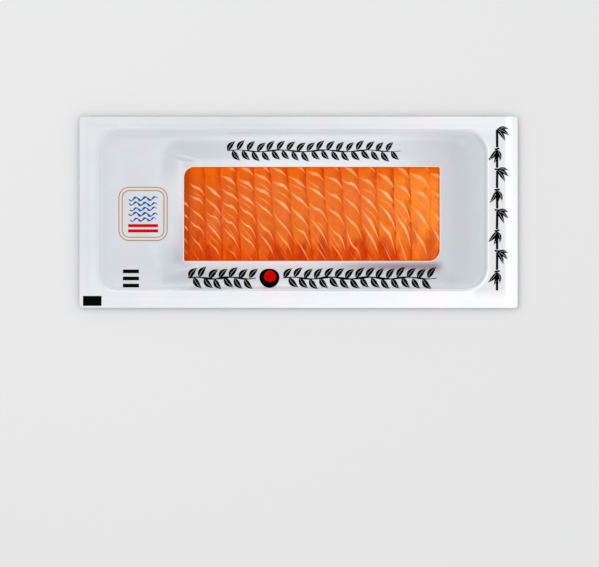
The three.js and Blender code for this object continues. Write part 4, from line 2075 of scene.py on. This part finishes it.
@dataclass(frozen=True)
class Garland:
    """A leaf garland: its row of leaves, their length and width, and its stem's ends and greatest width."""

    place: str
    side: str
    row: Row
    leaf_size: Pair
    stem: Pair
    stem_width: float
    bow: float = 0.1
    rib: float = 0.13

    def named(self, part: str) -> str:
        """The name of the garland's leaves or stem."""
        return f"ink_{self.place}_{part}{self.side}"

    def leaves(self) -> list[Shape]:
        """The leaf for either side of the stem."""
        reach, width = self.leaf_size
        return [leaf((0.0, 0.0), (reach, 0.0), bow * reach, width, self.rib) for bow in (self.bow, -self.bow)]

    def wavy_stem(self) -> Shape:
        """The stem, which swells and thins twice in each wave.

        Returns:
            The stem's points and faces.
        """
        row, share = self.row, np.linspace(0.0, 1.0, 160)
        turn = math.tau * row.waves * share
        spine = np.stack([lerp(*self.stem, share), row.start[1] + row.sway * np.sin(turn)], axis=1)
        pulse = 0.75 + 0.25 * np.sin(2 * turn + 0.8)
        half = 0.5 * self.stem_width * pulse * np.sin(math.pi * share) ** 0.3
        return ribbon(spine * MM, np.maximum(half, 0.05) * MM, 2)


@dataclass
class Print:
    """The print on the film: leaf garlands, a sun in a ring, a cane, a plain badge and some bars.

    Its places and sizes are in millimetres.
    """

    UPPER_ROW = Row((-48.5, 42), (63.5, 42), 34, tilt=50, jitter=5, sway=0.6, waves=4, smallest=0.9, seed=3)
    LEFT_ROW = Row((-75, -45), (-33.5, -45), 13, tilt=50, jitter=5, sway=0.6, waves=2, smallest=0.9, seed=8)
    RIGHT_ROW = Row((-10, -45), (88.5, -45), 29, tilt=50, jitter=5, sway=0.6, waves=4, smallest=0.92, seed=21)
    GARLANDS = (
        Garland("upper", "", UPPER_ROW, (8.9, 3.7), (-49, 70), 1.2),
        Garland("lower", "_left", LEFT_ROW, (9.4, 4.1), (-75.7, -29), 1.6),
        Garland("lower", "_right", RIGHT_ROW, (9.4, 4.1), (-11, 94.8), 1.6),
    )

    film: Piece
    form: PackForm
    lift: float = 0.055 * MM
    ink_depth: float = 0.03 * MM
    sun_middle: Pair = (-19.7, -44.4)
    sun_disc: Pair = (4.7, 5.7)
    sun_tilt: float = 0.35
    sun_ring: Pair = (5.5, 5.2)
    cane_x: float = 135.8
    badge_middle: Pair = (-106.4, -1.1)
    badge_half: Pair = (15.4, 17.1)
    badge_radius: float = 6.0
    bars_x: float = -114.7
    corner_block: Pair = (-141.1, -60.6)
    edge_outset: float = 0.38 * MM
    edge_half: float = 0.31 * MM
    press: PressTree = field(default_factory=PressTree)
    rows: RowTree = field(default_factory=RowTree)

    def lay(self, name: str, flat: Piece, ink: Ink, layer: int = 0) -> None:
        """Lays a flat object on the film in one ink, and hands it over.

        Args:
            name: The piece's name.
            flat: The flat artwork, which is used up.
            ink: Its ink.
            layer: How many layers of ink lie under it.
        """
        lift = self.lift + layer * self.ink_depth
        self.press.put_on(flat, {"Film": self.film, "Lift": lift, "Ink": ink.value.material()})
        add_solidify(flat, self.ink_depth)
        hand_over(frozen(flat, name))

    def lay_shape(self, name: str, shape: Shape, ink: Ink, layer: int = 0) -> None:
        """Lays a flat shape on the film in one ink."""
        self.lay(name, mesh_object(f"{name}_flat", *shape), ink, layer)

    def lay_row(self, name: str, marks: Sequence[Shape], row: Row, ink: Ink, layer: int = 0) -> None:
        """Lays a row of marks on the film in one ink."""
        self.lay(name, self.rows.stand(f"{name}_flat", marks, row, ink.value.material()), ink, layer)

    def build(self) -> None:
        """Lays every part of the print."""
        for garland in self.GARLANDS:
            self.lay_row(garland.named("leaves"), garland.leaves(), garland.row, Ink.BLACK)
            self.lay_shape(garland.named("stem"), garland.wavy_stem(), Ink.BLACK, 1)
        self.sun()
        self.cane()
        self.badge()
        self.small_marks()
        self.window_line()

    def sun(self) -> None:
        """Lays the brushed ring and the red disc in it."""
        turn = np.linspace(0.0, math.tau, 90, endpoint=False)
        circle = np.stack([np.cos(turn), np.sin(turn)], axis=1)
        half = 1.35 + 0.62 * np.sin(turn + 3.5) + 0.16 * np.sin(3 * turn)
        ring = ribbon((self.sun_middle + self.sun_ring * circle) * MM, half * MM, 4, closed=True)
        self.lay_shape("ink_sun_disc", moved(disc(*self.sun_disc), *self.sun_middle, self.sun_tilt), Ink.RED)
        self.lay_shape("ink_sun_ring", ring, Ink.BLACK, 1)

    def cane(self) -> None:
        """Lays the jointed cane down the right-hand flange, with a tuft of leaves at every joint."""
        joint, knot = moved(bar(12.2, 1.7), 0.0, 0.0, math.pi / 2), moved(bar(3.6, 1.2), 0.0, 0.0, 0.06)
        tuft = [
            leaf((0.0, 0.3), (-0.4, -10.2), 0.6, 2.7, 0.14),
            leaf((0.1, 0.1), (4.0, -9.0), 0.9, 2.6, 0.14),
            leaf((0.2, 0.0), (6.6, -5.2), 0.9, 2.2, 0.14),
        ]
        joints = Row((self.cane_x, 50.4), (self.cane_x, -47.4), 8, jitter=1.5, smallest=0.97, seed=5)
        knots = Row((self.cane_x, 43.4), (self.cane_x, -40.4), 7, tilt=5.0, jitter=3.0, smallest=0.9, seed=6)
        tufts = Row((self.cane_x, 56.9), (self.cane_x, -40.9), 8, tilt=34, jitter=6, smallest=0.92, seed=12)
        self.lay_row("ink_cane_joints", [joint], joints, Ink.BLACK)
        self.lay_row("ink_cane_knots", [knot], knots, Ink.BLACK, 1)
        self.lay_row("ink_cane_leaves", [joined(tuft)], tufts, Ink.BLACK, 2)

    def badge(self) -> None:
        """Lays the plain badge: a double tan border round blue ripples over two red bars."""
        x, y = self.badge_middle
        across, up = self.badge_half
        box = box_mm((x - across, x + across), (y - up, y + up), (self.badge_radius,) * 4)
        box = replace(box, corner_steps=10, long_steps=16, short_steps=18)
        for name, out, width, ink, layer in (
            ("ink_badge_band", 0.0, 1.9, Ink.TAN, 0),
            ("ink_badge_outer", 1.15, 0.5, Ink.BROWN, 1),
            ("ink_badge_inner", -1.15, 0.5, Ink.BROWN, 1),
        ):
            spine = box.outset(out * MM).ring()
            self.lay_shape(name, ribbon(spine, width * MM / 2, 2, closed=True), ink, layer)
        share = np.linspace(-1.0, 1.0, 100)
        line = np.stack([10.4 * share, 1.15 * np.sin(math.tau * 1.5 * share)], axis=1)
        half = 0.20 + 0.66 * np.sqrt(1.0 - share**2) * (0.62 + 0.38 * np.sin(math.tau * 3 * share))
        waves = Row((x, y + 10.4), (x, y - 3.8), 5, tilt=2.0, smallest=0.84, seed=4)
        self.lay_row("ink_badge_ripples", [ribbon(line * MM, half * MM, 3)], waves, Ink.BLUE)
        self.lay_row("ink_badge_bars", [bar(20.5, 2.1)], Row((x, y - 8.0), (x, y - 11.6), 2), Ink.RED)

    def small_marks(self) -> None:
        """Lays the three bars under the badge and the block at the film's corner."""
        bars = Row((self.bars_x, -40.4), (self.bars_x, -50.1), 3)
        self.lay_row("ink_bars", [bar(11.0, 2.5)], bars, Ink.BLACK)
        self.lay_shape("ink_corner_block", moved(bar(12.7, 6.8), *self.corner_block), Ink.BLACK)

    def window_line(self) -> None:
        """Lays the thin pale line round the window: the printed film's cut edge, brightened as a painted
        glow.
        """
        spine = self.form.window.outset(self.edge_outset).ring()
        self.lay_shape("ink_window_line", ribbon(spine, self.edge_half, 2, closed=True), Ink.CUT_EDGE_GLOW)


# ---- studio


@dataclass(frozen=True)
class SoftBox:
    """A square light that shines at the pack: its name, its place, its sides' length and its watts."""

    name: str
    place: Triple
    size: float
    energy: float

    def shine(self) -> None:
        """Adds the light to the scene."""
        light = bpy.data.lights.new(self.name, "AREA")
        light.size = self.size
        light.energy = self.energy
        lamp = linked(self.name, light)
        lamp.location = self.place
        lamp.rotation_euler = (-lamp.location).to_track_quat("-Z", "Y").to_euler()


@dataclass
class Studio:
    """The floor, the lights and the camera that looks straight down on the pack."""

    floor_half: float = 3.0
    view_middle: Pair = (0.65 * MM, -48.7 * MM)
    view_width: float = 410 * MM
    lens: float = 400.0
    sensor: float = 36.0
    key: SoftBox = SoftBox("key", (-0.36, 0.26, 1.04), 0.9, 3.0)
    fill: SoftBox = SoftBox("fill", (0.75, -0.35, 0.9), 1.2, 1.3)
    world_strength: float = 0.84

    def build(self) -> None:
        """Makes the floor, the lights, the world and the camera."""
        side = self.floor_half
        corners = [(-side, -side, 0.0), (side, -side, 0.0), (side, side, 0.0), (-side, side, 0.0)]
        mesh_object("floor", corners, [(0, 1, 2, 3)], FloorFinish().material(), smooth=False)
        self.key.shine()
        self.fill.shine()
        world = bpy.data.worlds.new("Studio")
        bpy.context.scene.world = world
        world.use_nodes = True
        background = world.node_tree.nodes["Background"]
        background.inputs["Color"].default_value = (1.0, 1.0, 1.0, 1.0)
        background.inputs["Strength"].default_value = self.world_strength
        bpy.context.scene.view_settings.view_transform = "Standard"
        self.camera()

    def camera(self) -> None:
        """Adds the camera, straight above, with the pack's length across the picture."""
        data = bpy.data.cameras.new("camera")
        data.lens = self.lens
        data.sensor_width = self.sensor
        camera = linked("camera", data)
        camera.location = (*self.view_middle, self.view_width * self.lens / self.sensor)
        bpy.context.scene.camera = camera


# ---- the whole


def main() -> None:
    """Builds the pack and the studio round the frame, and logs each piece's faces."""
    logging.basicConfig(level=logging.INFO, format="%(message)s")
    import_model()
    form, relief = PackForm(), FlangeRelief()
    Studio().build()
    Tray(form, relief, TrayFinish()).build()
    SalmonSlab(form, SalmonFinish()).build()
    film = PrintedFilm(form, relief, PrintedFilmFinish()).build()
    WindowFilm(form, ClearFilmFinish()).build()
    Print(film, form).build()


if __name__ == "__main__":
    main()
